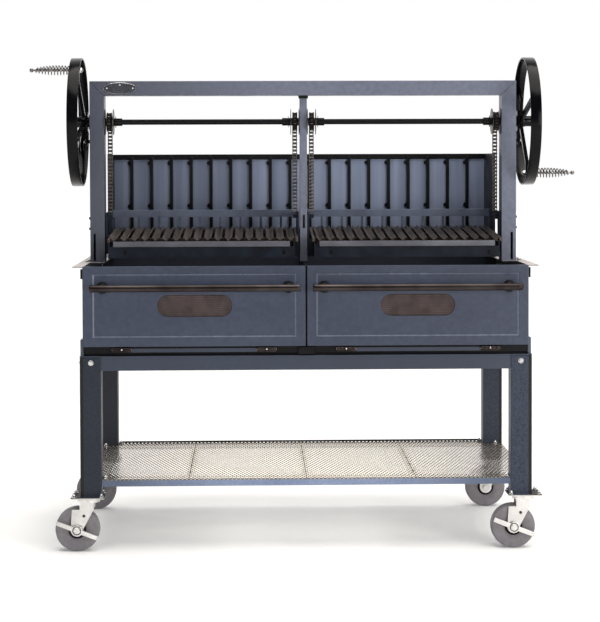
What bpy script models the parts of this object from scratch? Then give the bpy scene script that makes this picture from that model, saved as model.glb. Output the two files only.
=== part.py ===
"""Double open-fire grill on a wheeled cart, with two grates that hand wheels raise on chains.

Metres, +Z up. The front looks towards -Y, left is -X. The origin is on the floor, under the
middle of the whole. Depths are measured backwards from the front of the cart.
"""

import math

import bmesh
import bpy
from mathutils import Vector

GAP = 0.0003                 # between faces that touch on the real object
FRONT_Y = -0.385225          # front of the cart, so that the whole is centred on the origin

# Cart
CART_HALF_WIDTH = 0.764
CART_DEPTH = 0.8155
CART_TOP_Z = 0.662
CART_RAIL_HEIGHT = 0.050
CART_LEAF = 0.004
RAIL_SETBACK = 0.003
LEG_WIDTH = 0.072
LEG_DEPTH = 0.0635
LEG_WALL = 0.004
CASTER_PLATE_TOP_Z = 0.187
CASTER_PLATE_THICKNESS = 0.006
CASTER_PLATE_HALF_X = 0.057
CASTER_PLATE_HALF_Y = 0.051
CASTER_PLATE_OFFSET = 0.011   # outwards from the middle of the leg
SHELF_INSET = 0.0043
SHELF_TOP_Z = 0.241
SHELF_ANGLE = 0.021
SHELF_LEAF = 0.003
SHELF_LEAF_WIDTH = 0.025
SHELF_BAR_PLACES = (-0.398, 0.0, 0.371)
DECK_EDGE = 0.0015

# Casters
WHEEL_RADIUS = 0.0745
WHEEL_HALF_WIDTH = 0.0254
WHEEL_TRAIL = 0.037
FORK_INNER = 0.0285
FORK_PLATE = 0.005
AXLE_RADIUS = 0.0065
AXLE_STUB = 0.004
TYRE_SHOULDER = 0.006
RACE_RADIUS = 0.039
RACE_HEIGHT = 0.014
RACE_EDGE = 0.004
FORK_NECK = (0.009, 0.058)   # across the top of a fork plate, from the axle
FORK_SHOULDER = (-0.017, 0.056)
FORK_SHOULDER_RISE = 0.069
FORK_FOOT_RADIUS = 0.022
FORK_HOLE = (0.023, 0.048)
FORK_HOLE_RADIUS = 0.0055
LEVER_PLATE = 0.005
LEVER_GAP = 0.006
LEVER_SLOPE = -21
LEVER_REACH = 0.073
LEVER_TIP_HALF_HEIGHT = 0.0075
LEVER_BOSS_RADIUS = 0.019
LEVER_BOSS_ARC = (155, 25)

# Firebox
SHEET = 0.003
FIREBOX_HALF_WIDTH = 0.754
FIREBOX_FLOOR_Z = 0.672
FIREBOX_TOP_Z = 0.963
FIREBOX_FRONT = 0.012
FIREBOX_BACK = 0.806
SILL_FRONT = 0.004
SILL_TOP_Z = 0.6932
RUNNER_PLACES = (0.020, 0.770)
RUNNER_WIDTH = 0.025
FLANGE_FRONT = 0.010
LEDGE_FRONT = 0.270
BRACKET_DEPTH = 0.060
BRACKET_TOP_Z = 0.717
BRACKET_THICKNESS = 0.008
POST_PAD = (0.270, 0.376)
BRICK_JOINT = 0.0015
BRICK_JOINT_DEPTH = 0.004
FLANGE_HALF_WIDTH = 0.788
LEDGE_HALF_WIDTH = 0.699
BRICK_THICKNESS = 0.032
BRICK_COLUMNS = 6
BRICK_ROWS = 3
SHIELD_HALF_WIDTH = 0.705
SHIELD_FRONT = 0.500
SHIELD_TOP_Z = 1.342
RIB_COUNT = 18
RIB_PITCH = 0.07485
RIB_WIDTH = 0.012
RIB_DEPTH = 0.011
RIB_FOOT_GAP = 0.002
RIB_BAND_HEIGHT = 0.020
RIB_BAND_THICKNESS = 0.005

# Doors
DOOR_INNER = 0.003
DOOR_OUTER = 0.749
DOOR_BOTTOM_Z = 0.694
DOOR_TOP_Z = 0.964
DOOR_FRONT = -0.008
DOOR_BACK = 0.008
DOOR_BORDER = 0.031
DOOR_TOP_BORDER = 0.026
DOOR_RECESS = 0.0025
VENT_LENGTH = 0.252
VENT_HEIGHT = 0.074
VENT_Z = 0.831
DOOR_BAR_RADIUS = 0.0127
DOOR_BAR_DEPTH = -0.0513
DOOR_BAR_Z = 0.893
DOOR_BAR_INNER = 0.021
DOOR_BAR_OUTER = 0.727
STANDOFF_PLACES = (0.0605, 0.685)
STANDOFF_BASE_RADIUS = 0.020
STANDOFF_RADIUS = 0.008
STANDOFF_STEPS = (0.003, 0.006)
HINGE_DEPTH = -0.004
HINGE_Z = 0.684
HINGE_PLACES = (0.134, 0.6215)
HINGE_LENGTH = 0.064
HINGE_RADIUS = 0.0065
HINGE_STRIP = (-0.010, 0.003)   # below and above the pin
HINGE_STRIP_FRONT = 0.001
HINGE_PAD_FRONT = -0.001
HINGE_END_GAP = 0.002

# Posts and beam
POST_INNER = 0.6992
POST_OUTER = 0.750
POST_FRONT = 0.285
POST_BACK = 0.361
POST_WALL = 0.004
BEAM_BOTTOM_Z = 1.547
BEAM_TOP_Z = 1.598
CENTRE_POST_HALF_WIDTH = 0.0127
CENTRE_POST_HALF_DEPTH = 0.0254
FOOT_SLOT = (0.7305, 0.7385)
FOOT_SLOT_RISE = 0.004
FOOT_SLOT_TOP_Z = 1.063
CENTRE_SLOT = (-0.0035, 0.0045)
CENTRE_SLOT_Z = (1.080, 1.126)

# Lifts
SHAFT_DEPTH = 0.323
SHAFT_Z = 1.455
SHAFT_RADIUS = 0.0095
SHAFT_INNER = 0.0025
SHAFT_OUTER = 0.8155
BORE_RADIUS = 0.0100
BEARING_RADIUS = 0.026
SPOOL_PLACES = (0.0295, 0.683)
SPOOL_DISC_RADIUS = 0.046
SPOOL_DISC_OFFSET = 0.0145
SPOOL_DISC_THICKNESS = 0.0016
SPOOL_HUB_RADIUS = 0.0135
SPROCKET_TEETH = 14
CHAIN_PITCH = 0.0127
SPROCKET_PITCH_RADIUS = CHAIN_PITCH / (2 * math.sin(math.pi / SPROCKET_TEETH))
SPROCKET_THICKNESS = 0.008
SLEEVE_LENGTH = 0.045
TOOTH_ROOT = 0.004            # below and above the pitch circle
TOOTH_TIP = 0.003
CHAIN_HALF_WIDTH = 0.0085
CHAIN_HALF_DEPTH = 0.006
CHAIN_TOP_Z = 1.432
CHAIN_BOTTOM_Z = 1.128
HAND_WHEEL_RADIUS = 0.2255
HAND_WHEEL_RIM = 0.006
HAND_WHEEL_INNER = 0.7745
HAND_WHEEL_OUTER = 0.8125
HAND_WHEEL_HUB_RADIUS = 0.019
HUB_INNER = 0.7545
HUB_PROUD = 0.002
SPOKES = 3
SPOKE_WIDTH = 0.0208
SPOKE_INNER = 0.7875
SPOKE_OUTER = 0.7995
SPOKE_START = 0.0145
RATCHET_INNER = 0.757
RATCHET_OUTER = 0.765
RATCHET_RADIUS = 0.040
RATCHET_TOOTH = 0.007
RATCHET_BORE = 0.014
RATCHET_LEAN = 0.22
RATCHET_TEETH = 12
HANDLE_ORBIT = 0.183
HANDLE_END = 0.963
PAWL_Z = 1.3865
PAWL_CLEARANCE = 0.0006
PAWL_EYE_RADIUS = 0.0105
PAWL_BOSS_RADIUS = 0.0065
PAWL_BOSS_PROUD = 0.004

# Carriages, grates and trays
CARRIAGE_INNER = 0.016
CARRIAGE_OUTER = 0.697
CARRIAGE_FRONT = 0.196
CARRIAGE_BACK = 0.613
CARRIAGE_PLATE = 0.004
CARRIAGE_NOSE = (0.034, 0.680)   # the narrower front part, across
TALL_PLATE_FRONT = 0.300
NOSE_TOP_Z = 1.032
PLATE_WINDOW_DEPTHS = (0.356, 0.456)
PLATE_WINDOW_Z = (1.050, 1.106)
CARRIAGE_BOTTOM_Z = 0.981
CARRIAGE_TOP_Z = 1.137
RAIL_TOP_Z = 1.0195
TRAY_LEDGE_DEPTHS = (0.228, 0.244)
TRAY_LEDGE_THICKNESS = 0.006
REAR_RAIL = (0.025, 0.026)     # depth and height
REAR_BAR_DEPTH = 0.008
REAR_BAR_Z = (1.000, 1.030)
GUARD_START = 0.022
GUARD_WIDTH = 0.008
GUARD_DEPTHS = (0.002, 0.008)   # in front of the back
GRATE_LEDGE_WIDTH = 0.030
GRATE_LEDGE_DEPTH = 0.024
GRATE_LEDGE_THICKNESS = 0.008
FRONT_LEDGE_DEPTH = 0.020
LUG_HEIGHT = 0.014
LUG_DEPTH = 0.020
LUG_HALF_WIDTH = 0.008
GUARD_BARS = 8
GUARD_PITCH = 0.0748
BAR_COUNT = 18
BAR_FIRST = 0.051
BAR_LAST = 0.667
BAR_FRONT = 0.225
BAR_BACK = 0.602
BAR_TIP_Z = 1.0365
BAR_SLOPE = 0.068
BAR_LEG = 0.019
BAR_THICKNESS = 0.003
CROSS_BAR_DEPTHS = (0.305, 0.585)
CROSS_BAR_WIDTH = 0.020
CROSS_BAR_HEIGHT = 0.012
CROSS_BAR_BITE = 0.003        # into the bars
CROSS_BAR_REACH = (0.029, 0.684)
END_RAILS = ((0.0245, 0.0335), (0.6795, 0.6890))
END_RAIL_HEIGHTS = (-0.002, 0.010)   # from the tips of the bars
GRATE_SHIFT = 0.0035           # both grates lie a little to the right in their carriages
TRAY_FRONT = 0.190
TRAY_BACK = 0.240
TRAY_INNER = 0.052
TRAY_OUTER = 0.663
TRAY_TOP_Z = 1.039
TRAY_WALL = 0.002
TRAY_STEP_DEPTH = 0.222        # behind this the rim is lower, under the bars
TRAY_STEP_Z = 1.033

SIDES = {"left": -1, "right": 1}

# Finish of each sub-part: base colour, metallic, roughness
FINISHES = {
    "blue_paint": ((0.085, 0.105, 0.135), 0.3, 0.42),
    "cart_paint": ((0.030, 0.043, 0.060), 0.2, 0.60),
    "black_paint": ((0.012, 0.012, 0.013), 0.1, 0.35),
    "wheel_gloss": ((0.008, 0.008, 0.009), 0.1, 0.18),
    "bronze": ((0.045, 0.038, 0.034), 0.7, 0.38),
    "chain_steel": ((0.180, 0.150, 0.130), 0.9, 0.45),
    "grate_steel": ((0.160, 0.140, 0.130), 0.8, 0.50),
    "tray_steel": ((0.420, 0.390, 0.370), 0.9, 0.38),
    "zinc": ((0.620, 0.620, 0.610), 1.0, 0.30),
    "wheel_rubber": ((0.160, 0.150, 0.155), 0.0, 0.62),
    "mesh_steel": ((0.680, 0.660, 0.630), 1.0, 0.32),
    "firebrick": ((0.560, 0.420, 0.290), 0.0, 0.90),
    "bright_steel": ((0.550, 0.540, 0.530), 1.0, 0.35),
}


def depth(distance):
    """World Y of a depth behind the front of the cart."""
    return FRONT_Y + distance


def clear_scene():
    for item in list(bpy.data.objects):
        bpy.data.objects.remove(item, do_unlink=True)


def finish_material(slot):
    material = bpy.data.materials.get(slot)
    if material is None:
        colour, metallic, roughness = FINISHES[slot]
        material = bpy.data.materials.new(slot)
        material.use_nodes = True
        shader = material.node_tree.nodes["Principled BSDF"]
        shader.inputs["Base Color"].default_value = (*colour, 1.0)
        shader.inputs["Metallic"].default_value = metallic
        shader.inputs["Roughness"].default_value = roughness
    return material


def add_object(name, mesh):
    item = bpy.data.objects.new(name, mesh)
    bpy.context.scene.collection.objects.link(item)
    return item


def mesh_of(name, builder):
    """Turn a bmesh into a mesh with its faces pointing out."""
    bmesh.ops.recalc_face_normals(builder, faces=builder.faces)
    mesh = bpy.data.meshes.new(name)
    builder.to_mesh(mesh)
    builder.free()
    return mesh


def place(item, slot, pivot=None, smooth=False):
    """Give a sub-part its material, and put its origin on its joint's axis."""
    item.data.materials.clear()
    item.data.materials.append(finish_material(slot))
    if smooth:
        item.data.shade_smooth()
        item.data.set_sharp_from_angle(angle=math.radians(32))
    if pivot is not None:
        for vertex in item.data.vertices:
            vertex.co -= Vector(pivot)
        item.location = pivot
    return item


def box(x_range, depth_range, z_range):
    """A box from its ranges, as its low and high corners; the depth is turned into Y."""
    low_x, high_x = sorted(x_range)
    low_z, high_z = sorted(z_range)
    low_y, high_y = sorted(depth(value) for value in depth_range)
    return ((low_x, low_y, low_z), (high_x, high_y, high_z))


def side_box(sign, x_range, depth_range, z_range):
    """The same, with the X range measured outwards from the middle on one side."""
    return box([sign * value for value in x_range], depth_range, z_range)


def inside(point, corners):
    low, high = corners
    return all(low[axis] < point[axis] < high[axis] for axis in range(3))


def block_object(name, solids, voids=()):
    """One closed body: the union of axis-aligned boxes, less other boxes."""
    every = list(solids) + list(voids)
    grid = [sorted({round(corner[axis], 6) for corners in every for corner in corners})
            for axis in range(3)]
    filled = set()
    for i in range(len(grid[0]) - 1):
        for j in range(len(grid[1]) - 1):
            for k in range(len(grid[2]) - 1):
                centre = [(grid[axis][n] + grid[axis][n + 1]) / 2
                          for axis, n in enumerate((i, j, k))]
                if any(inside(centre, solid) for solid in solids):
                    if not any(inside(centre, void) for void in voids):
                        filled.add((i, j, k))
    builder = bmesh.new()
    corners = {}

    def corner(key):
        if key not in corners:
            corners[key] = builder.verts.new([grid[axis][key[axis]] for axis in range(3)])
        return corners[key]

    for cell in sorted(filled):
        for axis in range(3):
            for step in (0, 1):
                neighbour = list(cell)
                neighbour[axis] += 1 if step else -1
                if tuple(neighbour) in filled:
                    continue
                first, second = (axis + 1) % 3, (axis + 2) % 3
                loop = []
                for a, b in ((0, 0), (1, 0), (1, 1), (0, 1)):
                    key = list(cell)
                    key[axis] += step
                    key[first] += a
                    key[second] += b
                    loop.append(corner(tuple(key)))
                if not step:
                    loop.reverse()
                builder.faces.new(loop)
    bmesh.ops.dissolve_limit(builder, angle_limit=math.radians(0.5),
                             verts=builder.verts, edges=builder.edges)
    return add_object(name, mesh_of(name, builder))


AXES = {"X": (1, 2, 0), "Y": (0, 2, 1), "Z": (0, 1, 2)}


def prism_object(name, outline, axis, low, high):
    """A closed outline in the plane across an axis, extruded from low to high along it."""
    first, second, along = AXES[axis]
    builder = bmesh.new()
    ends = []
    for level in (low, high):
        ring = []
        for a, b in outline:
            point = [0.0, 0.0, 0.0]
            point[first], point[second], point[along] = a, b, level
            ring.append(builder.verts.new(point))
        ends.append(ring)
        builder.faces.new(ring)
    count = len(outline)
    for n in range(count):
        after = (n + 1) % count
        builder.faces.new((ends[0][n], ends[0][after], ends[1][after], ends[1][n]))
    return add_object(name, mesh_of(name, builder))


def turned_object(name, profile, axis, centre, segments):
    """A profile of (radius, place along the axis) points, turned about an axis.

    The profile is a closed loop clear of the axis, or an open line with both ends on it.
    """
    first, second, along = AXES[axis]
    builder = bmesh.new()
    rings = []
    for radius, level in profile:
        ring = []
        for n in range(segments if radius > 0 else 1):
            angle = 2 * math.pi * n / segments
            point = list(centre)
            point[first] += radius * math.cos(angle)
            point[second] += radius * math.sin(angle)
            point[along] = level
            ring.append(builder.verts.new(point))
        rings.append(ring)
    closed = profile[0][0] > 0
    pairs = list(zip(rings, rings[1:]))
    if closed:
        pairs.append((rings[-1], rings[0]))
    for here, there in pairs:
        for n in range(segments):
            after = (n + 1) % segments
            loop = [here[n % len(here)], here[after % len(here)],
                    there[after % len(there)], there[n % len(there)]]
            builder.faces.new(list(dict.fromkeys(loop)))
    return add_object(name, mesh_of(name, builder))


def combine(base, others, operation):
    """Union the others with the base, or cut them out of it, and remove them."""
    for other in others:
        modifier = base.modifiers.new("combine", "BOOLEAN")
        modifier.operation = operation
        modifier.solver = "EXACT"
        modifier.object = other
    evaluated = base.evaluated_get(bpy.context.evaluated_depsgraph_get())
    mesh = bpy.data.meshes.new_from_object(evaluated)
    base.modifiers.clear()
    base.data = mesh
    for other in others:
        bpy.data.objects.remove(other, do_unlink=True)
    return base


def weld(base, others):
    return combine(base, others, "UNION")


def drill(base, others):
    return combine(base, others, "DIFFERENCE")


def arc(centre, radius, start, stop, steps):
    """Points on an arc, with its angles in degrees."""
    return [(centre[0] + radius * math.cos(math.radians(start + (stop - start) * n / steps)),
             centre[1] + radius * math.sin(math.radians(start + (stop - start) * n / steps)))
            for n in range(steps + 1)]


# ---------------------------------------------------------------- cart

def leg_centre(sign, rear):
    inset = GAP + LEG_DEPTH / 2
    from_front = CART_DEPTH - inset if rear else inset
    return sign * (CART_HALF_WIDTH - GAP - LEG_WIDTH / 2), from_front


def caster_centre(sign, rear):
    x, back = leg_centre(sign, rear)
    return x + sign * CASTER_PLATE_OFFSET, back


def make_leg(name, sign, rear):
    """Box-section leg on the welded plate that its caster bolts to, open at the top."""
    x, back = leg_centre(sign, rear)
    plate_x = caster_centre(sign, rear)[0]
    half_x, half_y = LEG_WIDTH / 2, LEG_DEPTH / 2
    top = CART_TOP_Z - CART_LEAF - GAP
    wall = LEG_WALL
    plate_bottom = CASTER_PLATE_TOP_Z - CASTER_PLATE_THICKNESS
    plate = box((plate_x - CASTER_PLATE_HALF_X, plate_x + CASTER_PLATE_HALF_X),
                (back - CASTER_PLATE_HALF_Y, back + CASTER_PLATE_HALF_Y),
                (plate_bottom, CASTER_PLATE_TOP_Z))
    tube = box((x - half_x, x + half_x), (back - half_y, back + half_y), (plate_bottom, top))
    inner = box((x - half_x + wall, x + half_x - wall), (back - half_y + wall, back + half_y - wall),
                (CASTER_PLATE_TOP_Z, top + wall))
    place(block_object(name, [plate, tube], [inner]), "cart_paint")


def leg_faces():
    """Just clear of the legs: |X| inside them, |X| of their outer face, and depth behind them."""
    outer = CART_HALF_WIDTH - GAP
    return outer - LEG_WIDTH - GAP, outer, LEG_DEPTH + 2 * GAP


def make_cart_top_frame():
    """Rails that butt against the legs, hung from a flat ring that caps them."""
    bottom = CART_TOP_Z - CART_RAIL_HEIGHT
    width, leaf, inset = CART_HALF_WIDTH, CART_LEAF, CART_RAIL_HEIGHT
    inner, _, behind_leg = leg_faces()
    solids = [box((-width, width), (0, CART_DEPTH), (CART_TOP_Z - leaf, CART_TOP_Z))]
    near = RAIL_SETBACK
    for depths in ((near, near + leaf), (CART_DEPTH - near - leaf, CART_DEPTH - near)):
        solids.append(box((-inner, inner), depths, (bottom, CART_TOP_Z)))
    for sign in SIDES.values():
        solids.append(side_box(sign, (width - near - leaf, width - near),
                               (behind_leg, CART_DEPTH - behind_leg), (bottom, CART_TOP_Z)))
    middle = box((inset - width, width - inset), (inset, CART_DEPTH - inset),
                 (bottom - leaf, CART_TOP_Z + leaf))
    place(block_object("cart_top_frame", solids, [middle]), "cart_paint")


def make_shelf_frame():
    """Angle rails between the legs, joined by flat bars under the mesh."""
    inner, outer, behind_leg = leg_faces()
    bottom = SHELF_TOP_Z - SHELF_ANGLE
    leaf_z = (SHELF_TOP_Z - SHELF_LEAF, SHELF_TOP_Z)
    inset = SHELF_INSET
    solids = []
    for near, far in ((inset, behind_leg), (CART_DEPTH - inset, CART_DEPTH - behind_leg)):
        inwards = 1 if far > near else -1
        solids.append(box((-inner, inner), (near, near + inwards * SHELF_LEAF),
                          (bottom, SHELF_TOP_Z)))
        solids.append(box((-inner, inner), (near, near + inwards * SHELF_LEAF_WIDTH), leaf_z))
        solids.append(box((-outer, outer), (far, far + inwards * SHELF_LEAF_WIDTH), leaf_z))
    for sign in SIDES.values():
        along = (behind_leg, CART_DEPTH - behind_leg)
        solids.append(side_box(sign, (outer - SHELF_LEAF, outer), along, (bottom, SHELF_TOP_Z)))
        solids.append(side_box(sign, (outer - SHELF_LEAF_WIDTH, outer), along, leaf_z))
    for place_x in SHELF_BAR_PLACES:
        half = SHELF_LEAF_WIDTH / 2
        solids.append(box((place_x - half, place_x + half), (inset, CART_DEPTH - inset), leaf_z))
    place(block_object("shelf_frame", solids), "cart_paint")


def make_shelf_mesh():
    """Expanded metal deck, as a plate notched round the legs."""
    inner, outer, behind_leg = leg_faces()
    bottom = SHELF_TOP_Z + GAP
    top = bottom + SHELF_LEAF
    edge = DECK_EDGE
    deck = box((edge - outer, outer - edge), (edge + CART_LEAF, CART_DEPTH - edge - CART_LEAF),
               (bottom, top))
    notches = []
    for sign in SIDES.values():
        for near, far in ((-edge, behind_leg), (CART_DEPTH - behind_leg, CART_DEPTH + edge)):
            notches.append(side_box(sign, (inner, outer + edge), (near, far),
                                    (bottom - edge, top + edge)))
    place(block_object("shelf_mesh", [deck], notches), "mesh_steel")


# ---------------------------------------------------------------- casters

def make_caster(corner, sign, rear):
    """Swivel fork with its axle, the wheel, and a brake lever on the front pair."""
    x, back = caster_centre(sign, rear)
    y = depth(back)
    wheel_x, wheel_z = x - WHEEL_TRAIL, WHEEL_RADIUS
    top = CASTER_PLATE_TOP_Z - CASTER_PLATE_THICKNESS - GAP
    race_bottom = top - RACE_HEIGHT
    race = turned_object("caster_fork_" + corner,
                         [(0, top), (RACE_RADIUS - RACE_EDGE, top), (RACE_RADIUS, top - RACE_EDGE),
                          (RACE_RADIUS, race_bottom), (0, race_bottom)],
                         "Z", (x, y, 0), 18)
    neck_z, shoulder_z = race_bottom + RACE_HEIGHT / 2, wheel_z + FORK_SHOULDER_RISE
    outline = [(wheel_x + FORK_NECK[0], neck_z), (wheel_x + FORK_NECK[1], neck_z),
               (wheel_x + FORK_SHOULDER[1], shoulder_z)]
    outline += arc((wheel_x, wheel_z), FORK_FOOT_RADIUS, 12, -192, 8)
    outline += [(wheel_x + FORK_SHOULDER[0], shoulder_z), (wheel_x + FORK_NECK[0], shoulder_z)]
    reach = FORK_INNER + FORK_PLATE + AXLE_STUB
    hole = turned_object("fork_hole", [(0, y - reach), (FORK_HOLE_RADIUS, y - reach),
                                       (FORK_HOLE_RADIUS, y + reach), (0, y + reach)],
                         "Y", (wheel_x + FORK_HOLE[0], 0, wheel_z + FORK_HOLE[1]), 10)
    plates = []
    for direction in (-1, 1):
        ends = sorted((y + direction * FORK_INNER, y + direction * (FORK_INNER + FORK_PLATE)))
        plates.append(prism_object("fork_plate", outline, "Y", ends[0], ends[1]))
    plates.append(turned_object("fork_axle",
                                [(0, y - reach), (AXLE_RADIUS, y - reach),
                                 (AXLE_RADIUS, y + reach), (0, y + reach)],
                                "Y", (wheel_x, 0, wheel_z), 10))
    place(drill(weld(race, plates), [hole]), "zinc", (x, y, top))
    make_caster_wheel(corner, wheel_x, y)
    if not rear:
        make_brake_lever(corner, wheel_x, y)


def make_caster_wheel(corner, x, y):
    """Rubber-tyred wheel with rounded shoulders and a bored hub."""
    shoulder = TYRE_SHOULDER
    half = WHEEL_HALF_WIDTH
    profile = [(AXLE_RADIUS + 0.0005, y - half), (WHEEL_RADIUS - shoulder, y - half),
               (WHEEL_RADIUS - shoulder * 0.3, y - half + shoulder * 0.3),
               (WHEEL_RADIUS, y - half + shoulder)]
    profile += [(radius, 2 * y - level) for radius, level in reversed(profile)]
    wheel = turned_object("caster_wheel_" + corner, profile, "Y", (x, 0, WHEEL_RADIUS), 36)
    place(wheel, "wheel_rubber", (x, y, WHEEL_RADIUS), smooth=True)


def make_brake_lever(corner, x, y):
    """Rocker lever on the end of the axle, with a round boss and two tapered arms."""
    front = y - FORK_INNER - FORK_PLATE - LEVER_GAP
    slope = math.radians(LEVER_SLOPE)
    reach, half = LEVER_REACH, LEVER_TIP_HALF_HEIGHT
    level = [(-reach, -half), (-reach, half)]
    left, right = LEVER_BOSS_ARC
    level += arc((0, 0), LEVER_BOSS_RADIUS, left, right, 4)
    level += [(reach, half), (reach, -half)]
    level += arc((0, 0), LEVER_BOSS_RADIUS, -right, -left, 4)
    outline = [(x + along * math.cos(slope) - across * math.sin(slope),
                WHEEL_RADIUS + along * math.sin(slope) + across * math.cos(slope))
               for along, across in level]
    lever = prism_object("brake_lever_" + corner, outline, "Y", front - LEVER_PLATE, front)
    place(lever, "zinc", (x, front, WHEEL_RADIUS))


# ---------------------------------------------------------------- firebox

def make_firebox_pan():
    """Floor sheet with its front sill, on two runners across the cart."""
    half = FIREBOX_HALF_WIDTH - SHEET - GAP
    floor = (FIREBOX_FLOOR_Z, FIREBOX_FLOOR_Z + SHEET)
    solids = [box((-half, half), (SILL_FRONT, FIREBOX_BACK - SHEET - GAP), floor),
              box((-half, half), (SILL_FRONT, SILL_FRONT + SHEET), (FIREBOX_FLOOR_Z, SILL_TOP_Z))]
    for near in RUNNER_PLACES:
        solids.append(box((-half, half), (near, near + RUNNER_WIDTH),
                          (CART_TOP_Z + GAP, FIREBOX_FLOOR_Z)))
    place(block_object("firebox_pan", solids), "black_paint")


def make_side_wall(side, sign):
    """Side sheet with a flange outwards, a ledge inwards for the post, and a corner bracket."""
    outer = FIREBOX_HALF_WIDTH
    top = (FIREBOX_TOP_Z - SHEET, FIREBOX_TOP_Z)
    solids = [
        side_box(sign, (outer - SHEET, outer), (FIREBOX_FRONT, CART_DEPTH),
                 (FIREBOX_FLOOR_Z, FIREBOX_TOP_Z)),
        side_box(sign, (outer - SHEET, FLANGE_HALF_WIDTH), (FLANGE_FRONT, CART_DEPTH), top),
        side_box(sign, (LEDGE_HALF_WIDTH, outer), (LEDGE_FRONT, FIREBOX_BACK - SHEET - GAP), top),
        side_box(sign, (outer - SHEET, outer + BRACKET_THICKNESS), (FIREBOX_FRONT, BRACKET_DEPTH),
                 (CART_TOP_Z + GAP, BRACKET_TOP_Z)),
    ]
    place(block_object("firebox_%s_wall" % side, solids), "blue_paint")


def make_back_wall():
    half = FIREBOX_HALF_WIDTH - SHEET - GAP
    solids = [box((-half, half), (FIREBOX_BACK - SHEET, FIREBOX_BACK),
                  (FIREBOX_FLOOR_Z, FIREBOX_TOP_Z)),
              box((-half, half), (FIREBOX_BACK - SHEET, CART_DEPTH),
                  (FIREBOX_TOP_Z - SHEET, FIREBOX_TOP_Z))]
    place(block_object("firebox_back_wall", solids), "blue_paint")


def make_divider():
    """Sheet between the two fires, with the pad that the centre post stands on."""
    floor = FIREBOX_FLOOR_Z + SHEET + GAP
    solids = [box((-SHEET, SHEET), (FIREBOX_FRONT, FIREBOX_BACK - SHEET - GAP),
                  (floor, FIREBOX_TOP_Z)),
              box((-CENTRE_POST_HALF_WIDTH, CENTRE_POST_HALF_WIDTH), POST_PAD,
                  (FIREBOX_TOP_Z - SHEET, FIREBOX_TOP_Z))]
    place(block_object("firebox_divider", solids), "blue_paint")


def make_firebricks(side, sign):
    """Firebrick floor of one fire, with joints between the bricks."""
    inner = SHEET + GAP
    outer = FIREBOX_HALF_WIDTH - SHEET - 2 * GAP
    front = FIREBOX_FRONT + GAP
    back = FIREBOX_BACK - SHEET - 2 * GAP
    bottom = FIREBOX_FLOOR_Z + SHEET + GAP
    top = bottom + BRICK_THICKNESS
    joint = BRICK_JOINT
    groove = (top - BRICK_JOINT_DEPTH, top + joint)
    grooves = []
    for n in range(1, BRICK_COLUMNS):
        x = inner + (outer - inner) * n / BRICK_COLUMNS
        grooves.append(side_box(sign, (x - joint, x + joint), (front - joint, back + joint), groove))
    for n in range(1, BRICK_ROWS):
        line = front + (back - front) * n / BRICK_ROWS
        grooves.append(side_box(sign, (inner - joint, outer + joint),
                                (line - joint, line + joint), groove))
    slab = side_box(sign, (inner, outer), (front, back), (bottom, top))
    place(block_object("firebrick_floor_" + side, [slab], grooves), "firebrick")


def make_back_shield():
    """Tall heat shield: a back sheet and two side wings."""
    bottom = FIREBOX_TOP_Z + GAP
    half = SHIELD_HALF_WIDTH
    solids = [box((-half, half), (FIREBOX_BACK - SHEET, FIREBOX_BACK), (bottom, SHIELD_TOP_Z))]
    for sign in SIDES.values():
        solids.append(side_box(sign, (half - SHEET, half), (SHIELD_FRONT, FIREBOX_BACK),
                               (bottom, SHIELD_TOP_Z)))
    place(block_object("back_shield", solids), "blue_paint")


def make_rib_rack():
    """Vertical ribs in front of the shield, hung from one top band."""
    back = FIREBOX_BACK - SHEET - GAP
    half = SHIELD_HALF_WIDTH - SHEET - GAP
    band_bottom = SHIELD_TOP_Z - RIB_BAND_HEIGHT
    solids = [box((-half, half), (back - RIB_BAND_THICKNESS, back), (band_bottom, SHIELD_TOP_Z))]
    for n in range(RIB_COUNT):
        x = (n - (RIB_COUNT - 1) / 2) * RIB_PITCH
        solids.append(box((x - RIB_WIDTH / 2, x + RIB_WIDTH / 2), (back - RIB_DEPTH, back),
                          (FIREBOX_TOP_Z + RIB_FOOT_GAP, band_bottom + RIB_BAND_HEIGHT / 2)))
    place(block_object("rib_rack", solids), "black_paint")


# ---------------------------------------------------------------- doors

def make_door(side, sign):
    """Pan door with a shallow recessed panel and a round-ended air vent."""
    depths = (DOOR_FRONT, DOOR_BACK)
    heights = (DOOR_BOTTOM_Z, DOOR_TOP_Z)
    shell = side_box(sign, (DOOR_INNER, DOOR_OUTER), depths, heights)
    border = DOOR_BORDER
    recess = side_box(sign, (DOOR_INNER + border, DOOR_OUTER - border),
                      (DOOR_FRONT - SHEET, DOOR_FRONT + DOOR_RECESS),
                      (DOOR_BOTTOM_Z + border, DOOR_TOP_Z - DOOR_TOP_BORDER))
    behind = side_box(sign, (DOOR_INNER + SHEET, DOOR_OUTER - SHEET),
                      (DOOR_FRONT + DOOR_RECESS + SHEET, DOOR_BACK + SHEET),
                      (DOOR_BOTTOM_Z + SHEET, DOOR_TOP_Z - SHEET))
    door = block_object("door_" + side, [shell], [recess, behind])
    centre = sign * (DOOR_INNER + DOOR_OUTER) / 2
    straight = (VENT_LENGTH - VENT_HEIGHT) / 2
    outline = arc((centre + straight, VENT_Z), VENT_HEIGHT / 2, -90, 90, 12)
    outline += arc((centre - straight, VENT_Z), VENT_HEIGHT / 2, 90, 270, 12)
    vent = prism_object("vent_cutter", outline, "Y", depth(-0.05), depth(0.05))
    place(drill(door, [vent]), "blue_paint", (0, depth(HINGE_DEPTH), HINGE_Z))


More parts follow.
